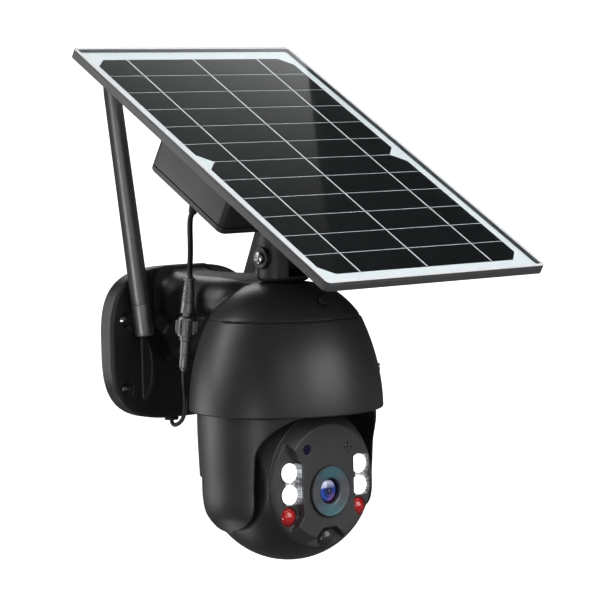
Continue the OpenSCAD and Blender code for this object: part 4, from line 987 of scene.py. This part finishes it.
def liner(name, xs, wall):
    """thin fluted liner on the floor of a lamp pocket that carries painted lamp light, turned up the slab wall when
    wall is set
    """
    n = 150
    x0, x1 = xs
    pts = []
    for t in np.linspace(0, 1, 60):
        pts.append((x0 + (x1 - x0) * t, 36.12, 0.0, 1.0))
    if wall:
        sg = 1 if x1 > x0 else -1
        cx, r = x1, 2.2
        for a in np.linspace(0.06, math.pi / 2, 14):
            pts.append((cx + sg * r * math.sin(a), 36.12 + r * (1 - math.cos(a)), -sg * math.sin(a), math.cos(a)))
        for t in np.linspace(0.2, 1, 8):
            pts.append((cx + sg * r, 36.12 + r + 2.1 * t, -sg, 0.0))
    zs = np.linspace(14.4, -13.4, n)
    V, F = [], []
    rows = len(pts)
    for layer in (0, 1):
        for (px, d, nx, nd) in pts:
            for zz in zs:
                k0 = math.hypot(abs(px) - 31.5, zz - 8.7)
                k1 = math.hypot(abs(px) - 31.5, zz + 6.1)
                a = math.atan2(zz - 8.7, abs(px) - 31.5) if k0 < k1 else math.atan2(zz + 6.1, abs(px) - 31.5)
                edge = min(1, min(14.4 - zz, zz + 13.4) / 1.2) ** 0.5
                h = (0.22 + 0.03 * math.cos(22 * a)) * layer * (0.25 + 0.75 * edge)
                V.append((px + nx * h, -120 - (d + nd * h), zz - 81.5))
    for layer in (0, 1):
        o = layer * rows * n
        for a in range(rows - 1):
            for c in range(n - 1):
                q = (o + a * n + c, o + (a + 1) * n + c, o + (a + 1) * n + c + 1, o + a * n + c + 1)
                F.append(q if layer else q[::-1])
    rim = [a * n for a in range(rows)] + [(rows - 1) * n + c for c in range(1, n)] + [a * n + n - 1 for a in range(rows - 2, -1, -1)] + [c for c in range(n - 2, 0, -1)]
    L = rows * n
    for a, b in zip(rim, rim[1:] + rim[:1]):
        F.append((a, b, b + L, a + L))
    o = mesh_np(name, np.array(V), np.array(F))
    bm = bmesh.new()
    bm.from_mesh(o.data)
    bmesh.ops.recalc_face_normals(bm, faces=bm.faces)
    bm.to_mesh(o.data)
    bm.free()
    o.data.materials.append(M["liner"])
    sharp(o, 50)
    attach(o, "head")
# the two liners cover different stretches: only where painted lamp light is wanted in each pocket
liner("left_pocket_painted_glow_liner", (-34.0, -25.2), True)
liner("right_pocket_painted_glow_liner", (29.0, 41.8), False)

# ------------------------------------------------------------------ lamp lenses, lens ring, lens
HEAD = Matrix.Translation((0, -0.120, -0.0815))
def front(x, y, z):
    """local Z points out of the face"""
    return HEAD @ Matrix.Translation((x * MM, y * MM, z * MM)) @ Matrix.Rotation(rad(90), 4, "X")
for s, side in ((-1, "left"), (1, "right")):
    for k, zz in enumerate((8.7, -6.1)):
        prof = [(0, 0.0), (6.1, 0.0), (6.45, 0.2), (6.45, 0.75), (6.2, 1.0)]
        rib = [(6.2 * (1 - t), 1.0 + 0.85 * (1 - (1 - t) ** 2) + (0.14 * math.sin(t * math.pi * 9) ** 2 if 0.02 < t < 0.93 else 0)) for t in np.linspace(0.04, 1, 70)]
        lathe(f"{side}_lamp_lens_{k + 1}", prof + [(max(r, 0), z) for r, z in rib[:-1]] + [(0, rib[-1][1])], M["glow"], "head", front(s * 31.5, -36.8, zz), 72,
              ["lamp_lenses"] if (s, k) == (-1, 0) else (), 60)
ring_p = [(8.4, -2.6), (15.95, -2.6), (15.95, 0), (17.2, 0), (17.5, 0.3), (17.5, 1.35), (17.25, 1.85), (16.85, 2.0), (16.55, 1.95), (16.45, 1.72), (16.3, 1.66), (13, 1.45), (10.2, 1.2), (9.3, 1.05), (8.7, 0.6), (8.4, 0.2)]
lathe("lens_cover_ring", ring_p, M["ring"], "head", front(0, -42, -6.3), 160, ["lens_cover"], 40)
dome_p = [(0, 34.2), (8.2, 34.2), (8.2, 38.3)] + [(8.15 * math.cos(a), 38.4 + 3.35 * math.sin(a)) for a in np.linspace(0.05, math.pi / 2 - 0.02, 22)] + [(0, 41.75)]
lathe("objective_lens", dome_p, M["lens"], "head", front(0, 0, -6.3), 128, ["lens_glass"], 45)

pir = [(0, -4.4), (5.6, -4.4), (5.6, 0.05), (6.5, 0.08)] + [(6.5 * math.cos(a) ** 0.9, 0.25 + 5.7 * math.sin(a)) for a in np.linspace(0.03, math.pi / 2 - 0.02, 26)] + [(0, 5.95)]
lathe("pir_dome", pir, M["pir"], "head", front(0, -36.05, -38), 96, ["pir_lens"], 50)

# ------------------------------------------------------------------ swivel neck and bracket
def f_neck(x, y, z):
    y = y + 120
    r = np.hypot(x, y)
    q = np.hypot(y, z - 69)
    outer = np.maximum(r - 18, 52.2 - z)
    outer = i(r - 18, 52.2 - z, 4.0)
    ear = np.where(z > 69, q - 15.5, np.abs(y) - 40)
    o = i(outer, ear, 1.1)
    o = u(o, i(q - 7.4, np.abs(x) - 21, 0.6), 0.8)
    o = u(o, np.maximum(r - 9.95, slab1(z, 45.3, 52.6)), 0)
    o = u(o, i(r - 7.95, slab1(z, 38.5, 45.5), 0.5), 0)
    o = cut(o, i(np.abs(x) - 8.3, 56 - z, 1.0), 0.8)
    o = cut(o, q - 2.5, 0.3)
    return cut(o, np.maximum(r - 4, z - 60), 0)
solid("swivel_neck_moulding", f_neck, (-22, -140, 37), (22, -100, 86), 0.48, M["housing"], "swivel", ["swivel_neck"])

PI_ = np.array((Matrix.Scale(1000, 4) @ PM.inverted() @ Matrix.Scale(0.001, 4)))
PINV = PM.inverted()
def to_panel(x, y, z):
    A = np.array(PINV)
    X, Y, Z = x * MM, y * MM, z * MM
    return [(A[k][0] * X + A[k][1] * Y + A[k][2] * Z + A[k][3]) * 1000 for k in range(3)]
def f_bracket(x, y, z):
    x, y, z = to_panel(x, y, z)
    y = y + 13.1
    q = np.hypot(y, z + 72.8)
    o = i(q - 12.6, np.abs(x) - 7.95, 0.7)
    tongue = i(i(np.abs(x) - 7.95, np.abs(y) - 11, 0.8), slab1(z, -72.8, -47.9), 0)
    o = u(o, tongue, 0.5)
    foot = i(box2(x, y, -26, -9, 26, 22, 4), slab1(z, -48.9, -44.9), 0.8)
    o = u(o, foot, 2.0)
    gus = np.maximum(np.maximum(y - 20, (y - 20) * 0.8 - (z + 48.8) * -0.6), np.maximum(10 - y, np.abs(x) - 1.5))
    gus = np.maximum(np.abs(x) - 1.5, np.maximum(10.5 - y, np.maximum((y - 11) * 0.8 + (-48.8 - z) * 0.6 - 7.2, z + 48)))
    o = u(o, gus, 0.8)
    o = cut(o, q - 2.56, 0.3)
    return cut(o, np.maximum(np.hypot(np.abs(x) - 19, y - 6) - 1.8, -60 - z), 0.3)
bc = [PM @ Vector((a * MM, b * MM, c * MM)) * 1000 for a in (-27, 27) for b in (-27, 10) for c in (-87, -43)]
lo_ = [min(p[k] for p in bc) - 1 for k in range(3)]
hi_ = [max(p[k] for p in bc) + 1 for k in range(3)]
solid("panel_bracket_moulding", f_bracket, lo_, hi_, 0.7, M["housing"], "panel", ["panel_bracket"])

# ------------------------------------------------------------------ hinge bolt
def f_bolt(x, y, z):
    y, z = y + 120, z - 69
    q = np.hypot(y, z)
    t = -21.2 - x
    head = i(i(q - 4.3, slab1(t, 0, 3.0), 0.5), np.sqrt(q * q + (t + 4.0) ** 2) - 7.0, 0.3)
    cr = np.minimum(np.maximum(np.abs(y) - 2.7, np.abs(z) - 0.55), np.maximum(np.abs(z) - 2.7, np.abs(y) - 0.55))
    cr = np.maximum(cr, 1.35 - t + np.abs(q) * 0.25)
    o = cut(head, cr, 0.15)
    shaft = np.maximum(q - 2.5, slab1(x, -21.3, 25.8))
    thread = q - 2.42 - 0.08 * np.cos(2 * np.pi * x / 0.8)
    return u(o, np.maximum(shaft, np.where(x > 20, thread, shaft)), 0)
solid("hinge_bolt_screw", f_bolt, (-25, -125, 64), (27, -115, 74), 0.26, M["steel"], "swivel", ["hinge_bolt"])

# ------------------------------------------------------------------ solar panel
X0, Y0 = 97.5, 147.5
fprof = rounded([(0, -7), (2, -7), (2, -5.6), (9, -5.6), (9, -4.4), (2.4, -4.4), (2.4, -0.02), (0, 0), (0, -1.7), (0.35, -1.95), (0, -2.2)],
                [0.35, 0.3, 0.3, 0.2, 0.2, 0.15, 0.5, 0.7, 0.1, 0.1, 0.1], 4)
fprof = fprof[::-1]
stack("panel_frame_rail", [[(a, b, z) for a, b in outline(-X0, -Y0, X0, Y0, 3.5, k, 8)] for k, z in fprof], M["frame"], "panel", PM, ["panel_frame"], True)
g0, g1 = X0 - 2.45, Y0 - 2.45
stack("cover_glass", [[(a, b, z) for a, b in outline(-g0, -g1, g0, g1, 1.2, k, 3)] for k, z in ((0.25, -2.62), (0, -2.4), (0, -0.55), (0.25, -0.32))], M["glass"], "panel", PM, ["panel_glass"])
def ribbons():
    bm = bmesh.new()
    def strip(x0, y0, x1, y1, z0, z1, bev):
        vs = [bm.verts.new(Vector(p) * MM) for p in ((x0, y0, z0), (x1, y0, z0), (x1, y1, z0), (x0, y1, z0), (x0 + bev, y0 + bev, z1), (x1 - bev, y0 + bev, z1), (x1 - bev, y1 - bev, z1), (x0 + bev, y1 - bev, z1))]
        for f in ((3, 2, 1, 0), (4, 5, 6, 7), (0, 1, 5, 4), (1, 2, 6, 5), (2, 3, 7, 6), (3, 0, 4, 7)):
            bm.faces.new([vs[k] for k in f])
    pitch = (295 - 24.9) / 12
    for c in (-58.8, 0, 58.8):
        for k in range(12):
            y1 = 147.5 - 12 - k * pitch
            strip(c - 0.62, y1 - pitch + 0.12, c + 0.62, y1 - 0.12, -2.9, -2.76, 0.06)
    me = bpy.data.meshes.new("bus_ribbons")
    bm.to_mesh(me)
    bm.free()
    me.transform(PM)
    o = link(me, "bus_ribbons")
    me.materials.append(M["ribbon"])
    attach(o, "panel")
ribbons()

def round_z(z0, z1, r0, r1, n=6):
    """(inset, z) steps from z0 to z1 with quarter rounds at each end"""
    out = [(r0 * (1 - math.sin(a)), z0 + r0 * (1 - math.cos(a))) for a in np.linspace(0, math.pi / 2, n)] if r0 else [(0, z0)]
    out += [(r1 * (1 - math.cos(a)), z1 - r1 * (1 - math.sin(a))) for a in np.linspace(0, math.pi / 2, n)] if r1 else [(0, z1)]
    return out
BX = (-75.5, -24.5, 75.5, 61.5)
def boxloops(steps, r=6, n=8):
    return [[(a, b, z) for a, b in outline(*BX, r, k, n)] for k, z in steps]
outer = round_z(-39.6, -4.4, 0.5, 0.6)
inner = [(2.5, -7.0), (2.5, -39.9)]
stack("battery_box_shell", boxloops([(2.5, -39.6), (0.5, -39.6)] + outer[1:] + [(2.5, -4.45), (12, -4.45), (12, -7.0)] + inner[:1] + [(2.5, -39.5)][:0] , 6), M["housing"], "panel", PM, ["battery_box"], True)
lid = [(2.5, -40.1), (0.5, -40.1)] + [(0.5 * (1 - math.sin(a)), -40.1 - 0.5 * (1 - math.cos(a))) for a in np.linspace(0, math.pi / 2, 5)][1:] + \
      [(2.6 * (1 - math.cos(a)), -42.3 - 2.6 * math.sin(a)) for a in np.linspace(0, math.pi / 2, 10)]
stack("box_lid_cover", boxloops(lid, 6), M["housing"], "panel", PM, ["box_lid"])

# ------------------------------------------------------------------ antennas
def antenna(name, node, px, lean, body, s):
    prof = [(0, -9)] + rounded([(4.6, -9.0), (6.75, -8.2), (6.75, 13.9), (6.15, 13.95), (6.15, 14.7), (6.65, 14.75), (5.95, 162), (5.6, 167.6), (2.6, 170)], [0.4, 1.6, 0.35, 0.1, 0.1, 0.4, 3, 3.2, 2.2], 6) + [(0, 170)]
    long = []
    for a, b in zip(prof, prof[1:] + prof[:1]):
        long.append(a)
    mt = Matrix.Translation((px * MM, -0.022, 0.022)) @ Matrix.Rotation(rad(lean), 4, "Y")
    return lathe(name, long, M["antenna"], body, mt, 96, [node], 34)
antenna("left_antenna_rod", "antenna_left", -45, -7.65, "left_antenna", -1)
antenna("right_antenna_rod", "antenna_right", 45, 21.7, "right_antenna", 1)

# ------------------------------------------------------------------ connector and cords
CM = Matrix.Translation((-0.0419, -0.0642, 0.0076)) @ Matrix.Rotation(rad(4.8), 4, Vector((0.664, 0.748, 0)))
CMI = np.array(CM.inverted())
def f_nut(x, y, z):
    x, y, z = (CMI[k][0] * x + CMI[k][1] * y + CMI[k][2] * z + CMI[k][3] * 1000 for k in range(3))
    z = z - 7
    r = np.hypot(x, y)
    o = i(r - 6, slab1(z, 0, 13), 0.5)
    o = u(o, i(r - 5.4 + np.maximum(z - 12.9, 0) * 0.6, slab1(z, 12, 14.2), 0.3), 0.25)
    a = np.arctan2(y, x) - rad(12)
    a = (a + math.pi / 8) % (math.pi / 4) - math.pi / 8
    la, al = r * np.sin(a), r * np.cos(a)
    fin = i(i(np.abs(la) - 0.62, al - 7.75, 0.45), slab1(z, 1.6, 11.2), 0.5)
    fin = np.maximum(fin, 5 - al)
    o = u(o, i(fin, al - 7.0 - (z - 1.6) * 0.35, 0.3), 0.35)
    return cut(o, u(np.maximum(r - 4.5, z - 10.4), r - 3.2, 0), 0.25)
solid("coupling_nut_body", f_nut, (-51, -74, 13), (-31, -55, 31), 0.32, M["conn"], "coupling_nut", ["connector_nut"])
plug = [(0, 9), (2.8, 9), (2.8, 16.2), (4.3, 16.3), (4.3, 17.2), (3.05, 17.3), (3.05, 22.9), (4.6, 23.0), (4.95, 23.4), (4.95, 25), (4.6, 29.9)]
for k in range(6):
    zb = 30.6 + k * 2.3
    rb = 4.55 - k * 0.22
    plug += [(rb - 0.28, zb), (rb + 0.16, zb + 0.25), (rb + 0.14, zb + 1.15), (rb - 0.32, zb + 1.4)]
plug += [(3.1, 45.1), (3.9, 45.4), (4.1, 45.8), (4.1, 46.9), (3.8, 47.35), (2.9, 47.5), (2.4, 48.9), (2.2, 49.1), (0, 49.1)]
lathe("lead_plug_boot", plug, M["conn"], "mount_body", CM, 64, ["connector_plug"], 28)
sock = [(0, -16.8), (2.2, -16.8), (2.5, -16.5), (3.5, -14.4), (3.7, -13.9), (3.7, -6.2), (3.45, -5.9), (3.45, -5.3), (3.7, -5), (3.7, 3.8), (4.4, 4.2), (4.4, 15.8), (4.2, 16), (2.9, 16), (2.9, 8), (0, 8)]
lathe("lead_socket_body", sock, M["conn"], "mount_body", CM, 64, ["connector_socket"], 28)

def conn_p(t):
    return tuple(CM @ Vector((0, 0, t * MM)) * 1000)
LEAD_TOP = [(-66, -104.9, 101.3), (-65.9, -102.6, 97.5), (-62.6, -97.8, 90.5), (-56.4, -90.2, 82), (-50, -82.2, 74.5), (-44.6, -75.2, 68.5), (-40.9, -70, 63.3), (-39.1, -67.7, 60), conn_p(50.4), conn_p(49.15)]
LEAD_LOW = [conn_p(-16.85), conn_p(-21.5), (-42.9, -62.8, -19.5), (-40.6, -60.6, -27), (-35, -53.5, -34.3), (-28, -44, -40.5), (-21, -33.5, -46), (-15.5, -23, -50.5), (-12, -14.5, -53), (-10.4, -9.4, -53.4), (-10, -7.2, -52), (-10, -7, -50)]
def resample(c, step):
    s = np.concatenate([[0], np.cumsum(np.linalg.norm(np.diff(c, axis=0), axis=1))])
    k = max(4, int(round(s[-1] / step)))
    t = np.linspace(0, s[-1], k + 1)
    return np.stack([np.interp(t, s, c[:, a]) for a in range(3)], 1), s[-1]
def tube_mesh(name, path, r, mat, n=20):
    """round tube along a path, with closed ends"""
    P = np.asarray(path)
    T = np.gradient(P, axis=0)
    T /= np.linalg.norm(T, axis=1)[:, None]
    uu = np.cross(T[0], [0.3, -0.9, 0.1])
    V, Q = [], []
    for k in range(len(P)):
        uu = uu - T[k] * (uu @ T[k])
        uu /= np.linalg.norm(uu)
        vv = np.cross(T[k], uu)
        for a in range(n):
            t = 2 * math.pi * a / n
            V.append(P[k] + r * (uu * math.cos(t) + vv * math.sin(t)))
    for k in range(len(P) - 1):
        for a in range(n):
            b = (a + 1) % n
            Q.append((k * n + a, k * n + b, (k + 1) * n + b, (k + 1) * n + a))
    bm = bmesh.new()
    vs = [bm.verts.new(Vector(v) * MM) for v in V]
    for q in Q:
        bm.faces.new([vs[k] for k in q])
    bm.faces.new([vs[k] for k in range(n)][::-1])
    bm.faces.new([vs[k] for k in range(len(vs) - n, len(vs))])
    me = bpy.data.meshes.new(name)
    bm.to_mesh(me)
    bm.free()
    o = link(me, name)
    sharp(o, 50)
    me.materials.append(mat)
    return o
top, top_len = resample(fine_curve(LEAD_TOP, 10), 1.6)
low, low_len = resample(fine_curve(LEAD_LOW, 10), 1.4)
mid = int(len(top) * 0.46)
upper_a, upper_b = top[:mid + 1], top[mid:]
la = tube_mesh("power_lead_upper", upper_a, 1.9, M["jacket"])
lb = tube_mesh("power_lead_lower", upper_b, 1.9, M["jacket"])
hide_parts("power_lead")
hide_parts("power_lead")
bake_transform(la)
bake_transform(lb)
lc = tube_mesh("pigtail_lead", low, 1.5, M["jacket"])
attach(lc, "mount_body")
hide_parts("pigtail")

# ------------------------------------------------------------------ stage and lights
def stage():
    bm = bmesh.new()
    n = 24
    prof = [(-6, 0.0)] + [(3.0 + 1.6 * math.sin(a), 1.6 * (1 - math.cos(a))) for a in np.linspace(0, math.pi / 2, n)] + [(4.6, 7.0)]
    vs = [[bm.verts.new((x, 0, 0)) for x in (0, 1)] for _ in prof]
    back = Vector((0.6636, 0.7481, 0))
    side = Vector((0.7481, -0.6636, 0))
    for k, (d, h) in enumerate(prof):
        for j, sx in enumerate((-9, 9)):
            vs[k][j].co = back * d + side * sx + Vector((0, 0, -0.62 + h))
    for k in range(len(prof) - 1):
        bm.faces.new((vs[k][0], vs[k][1], vs[k + 1][1], vs[k + 1][0]))
    me = bpy.data.meshes.new("studio_floor")
    bm.to_mesh(me)
    bm.free()
    o = link(me, "studio_floor")
    for p in me.polygons:
        p.use_smooth = True
    m, nt, b, _ = new_mat("studio_floor_m")
    nt.links.new(mixc(nt, noise(nt, coords(nt), 3, 2), (0.93, 0.93, 0.93), (0.95, 0.95, 0.95)), b.inputs["Base Color"])
    b.inputs["Roughness"].default_value = 0.9
    b.inputs["Emission Color"].default_value = (1, 1, 1, 1)
    b.inputs["Emission Strength"].default_value = 1.15
    me.materials.append(m)
    o.visible_glossy = False
    o.visible_diffuse = False
stage()

def softbox(name, az, el, dist, w, h, power, target=(0, -0.11, -0.02), color=(1, 1, 1)):
    """az is measured from the photograph-side view direction, positive to the right"""
    a = rad(-41.574 + az)
    e = rad(el)
    d = Vector((math.sin(a) * math.cos(e), -math.cos(a) * math.cos(e), math.sin(e)))
    ld = bpy.data.lights.new(name, "AREA")
    ld.shape = "RECTANGLE"
    ld.size, ld.size_y = w, h
    ld.energy = power
    ld.color = color
    o = bpy.data.objects.new(name, ld)
    bpy.context.scene.collection.objects.link(o)
    o.location = Vector(target) + d * dist
    o.rotation_mode = "QUATERNION"
    o.rotation_quaternion = d.to_track_quat("Z", "Y")
    return o
def strip(name, az, el, dist, w, h, radiance):
    softbox(name, az, el, dist, w, h, radiance * math.pi * w * h)
strip("left_dome", -92, 26, 1.5, 0.42, 1.0, 6.0)
strip("right_broad", 50, 22, 1.7, 1.5, 1.15, 4.0)
strip("front_fill", 6, 12, 2.0, 0.9, 1.1, 1.3)
strip("left_low", -110, -6, 1.5, 0.75, 0.5, 3.0)
strip("under_left", -100, -48, 1.3, 0.6, 0.5, 2.2)
strip("front_low", -37, -15, 1.8, 0.30, 0.55, 10.0)

def flag(light, pieces):
    """keeps one light off some pieces, as a black card on a stand would"""
    c = bpy.data.collections.new(light + "_flag")
    for n in pieces:
        c.objects.link(bpy.data.objects[n])
    bpy.data.objects[light].light_linking.receiver_collection = c
    for k in c.collection_objects:
        k.light_linking.link_state = "EXCLUDE"
for k in ("left_dome", "left_low"):
    flag(k, ["left_antenna_rod", "right_antenna_rod"])
strip("top_soft", 41.6, 63, 1.5, 1.2, 1.2, 5.2)
strip("back_rim", -166.6, 31, 1.6, 0.5, 0.35, 4.0)

def reflection_card():
    """card seen only in the cover glass: one hard edge, bright beside it and fading away from it and downward"""
    bm = bmesh.new()
    vs = [bm.verts.new(c) for c in ((0, -0.8, 0), (1.6, -0.8, 0), (1.6, 2.2, 0), (0, 2.2, 0))]
    bm.faces.new(vs)
    me = bpy.data.meshes.new("reflection_card")
    bm.to_mesh(me)
    bm.free()
    o = link(me, "reflection_card")
    e1, e2 = Vector((-0.139, -0.171, -0.043)), Vector((-0.228, 0.053, 0.059))
    e3 = e2.cross(e1).normalized()
    mt = Matrix((e2, e1, e3)).transposed().to_4x4()
    mt.translation = Vector((0.955, 0.418, 1.041))
    o.matrix_world = mt
    m = bpy.data.materials.new("reflection_card_m")
    m.use_nodes = True
    nt = m.node_tree
    for n in list(nt.nodes):
        nt.nodes.remove(n)
    ou, em = nt.nodes.new("ShaderNodeOutputMaterial"), nt.nodes.new("ShaderNodeEmission")
    tc, sp = nt.nodes.new("ShaderNodeTexCoord"), nt.nodes.new("ShaderNodeSeparateXYZ")
    nt.links.new(tc.outputs["Object"], sp.inputs[0])
    ex = math_n(nt, "ADD", math_n(nt, "MULTIPLY", sp.outputs[1], -2.1), math_n(nt, "MULTIPLY", sp.outputs[0], -0.55))
    nt.links.new(math_n(nt, "MULTIPLY", math_n(nt, "POWER", 2.71828, ex), 1.2), em.inputs["Strength"])
    nt.links.new(em.outputs[0], ou.inputs[0])
    me.materials.append(m)
    o.visible_camera = False
    o.visible_diffuse = False
    o.visible_shadow = False
reflection_card()

w = bpy.data.worlds.new("world")
bpy.context.scene.world = w
w.use_nodes = True
nt = w.node_tree
for n in list(nt.nodes):
    nt.nodes.remove(n)
out = nt.nodes.new("ShaderNodeOutputWorld")
bg1, bg2 = nt.nodes.new("ShaderNodeBackground"), nt.nodes.new("ShaderNodeBackground")
bg1.inputs[0].default_value = (1, 1, 1, 1)
tcw, dt = nt.nodes.new("ShaderNodeTexCoord"), nt.nodes.new("ShaderNodeVectorMath")
dt.operation = "DOT_PRODUCT"
nt.links.new(tcw.outputs["Generated"], dt.inputs[0])
dt.inputs[1].default_value = (0.66, 0.33, 0.675)
nt.links.new(remap(nt, dt.outputs["Value"], 0.45, 0.88, 0.15, 0.012), bg1.inputs[1])
bg2.inputs[0].default_value, bg2.inputs[1].default_value = (1, 1, 1, 1), 1.2
lp, mx = nt.nodes.new("ShaderNodeLightPath"), nt.nodes.new("ShaderNodeMixShader")
nt.links.new(lp.outputs["Is Camera Ray"], mx.inputs[0])
nt.links.new(bg1.outputs[0], mx.inputs[1])
nt.links.new(bg2.outputs[0], mx.inputs[2])
nt.links.new(mx.outputs[0], out.inputs[0])
vs_ = bpy.context.scene.view_settings
vs_.view_transform = "Standard"
vs_.look = "None"
vs_.exposure, vs_.gamma = 0, 1
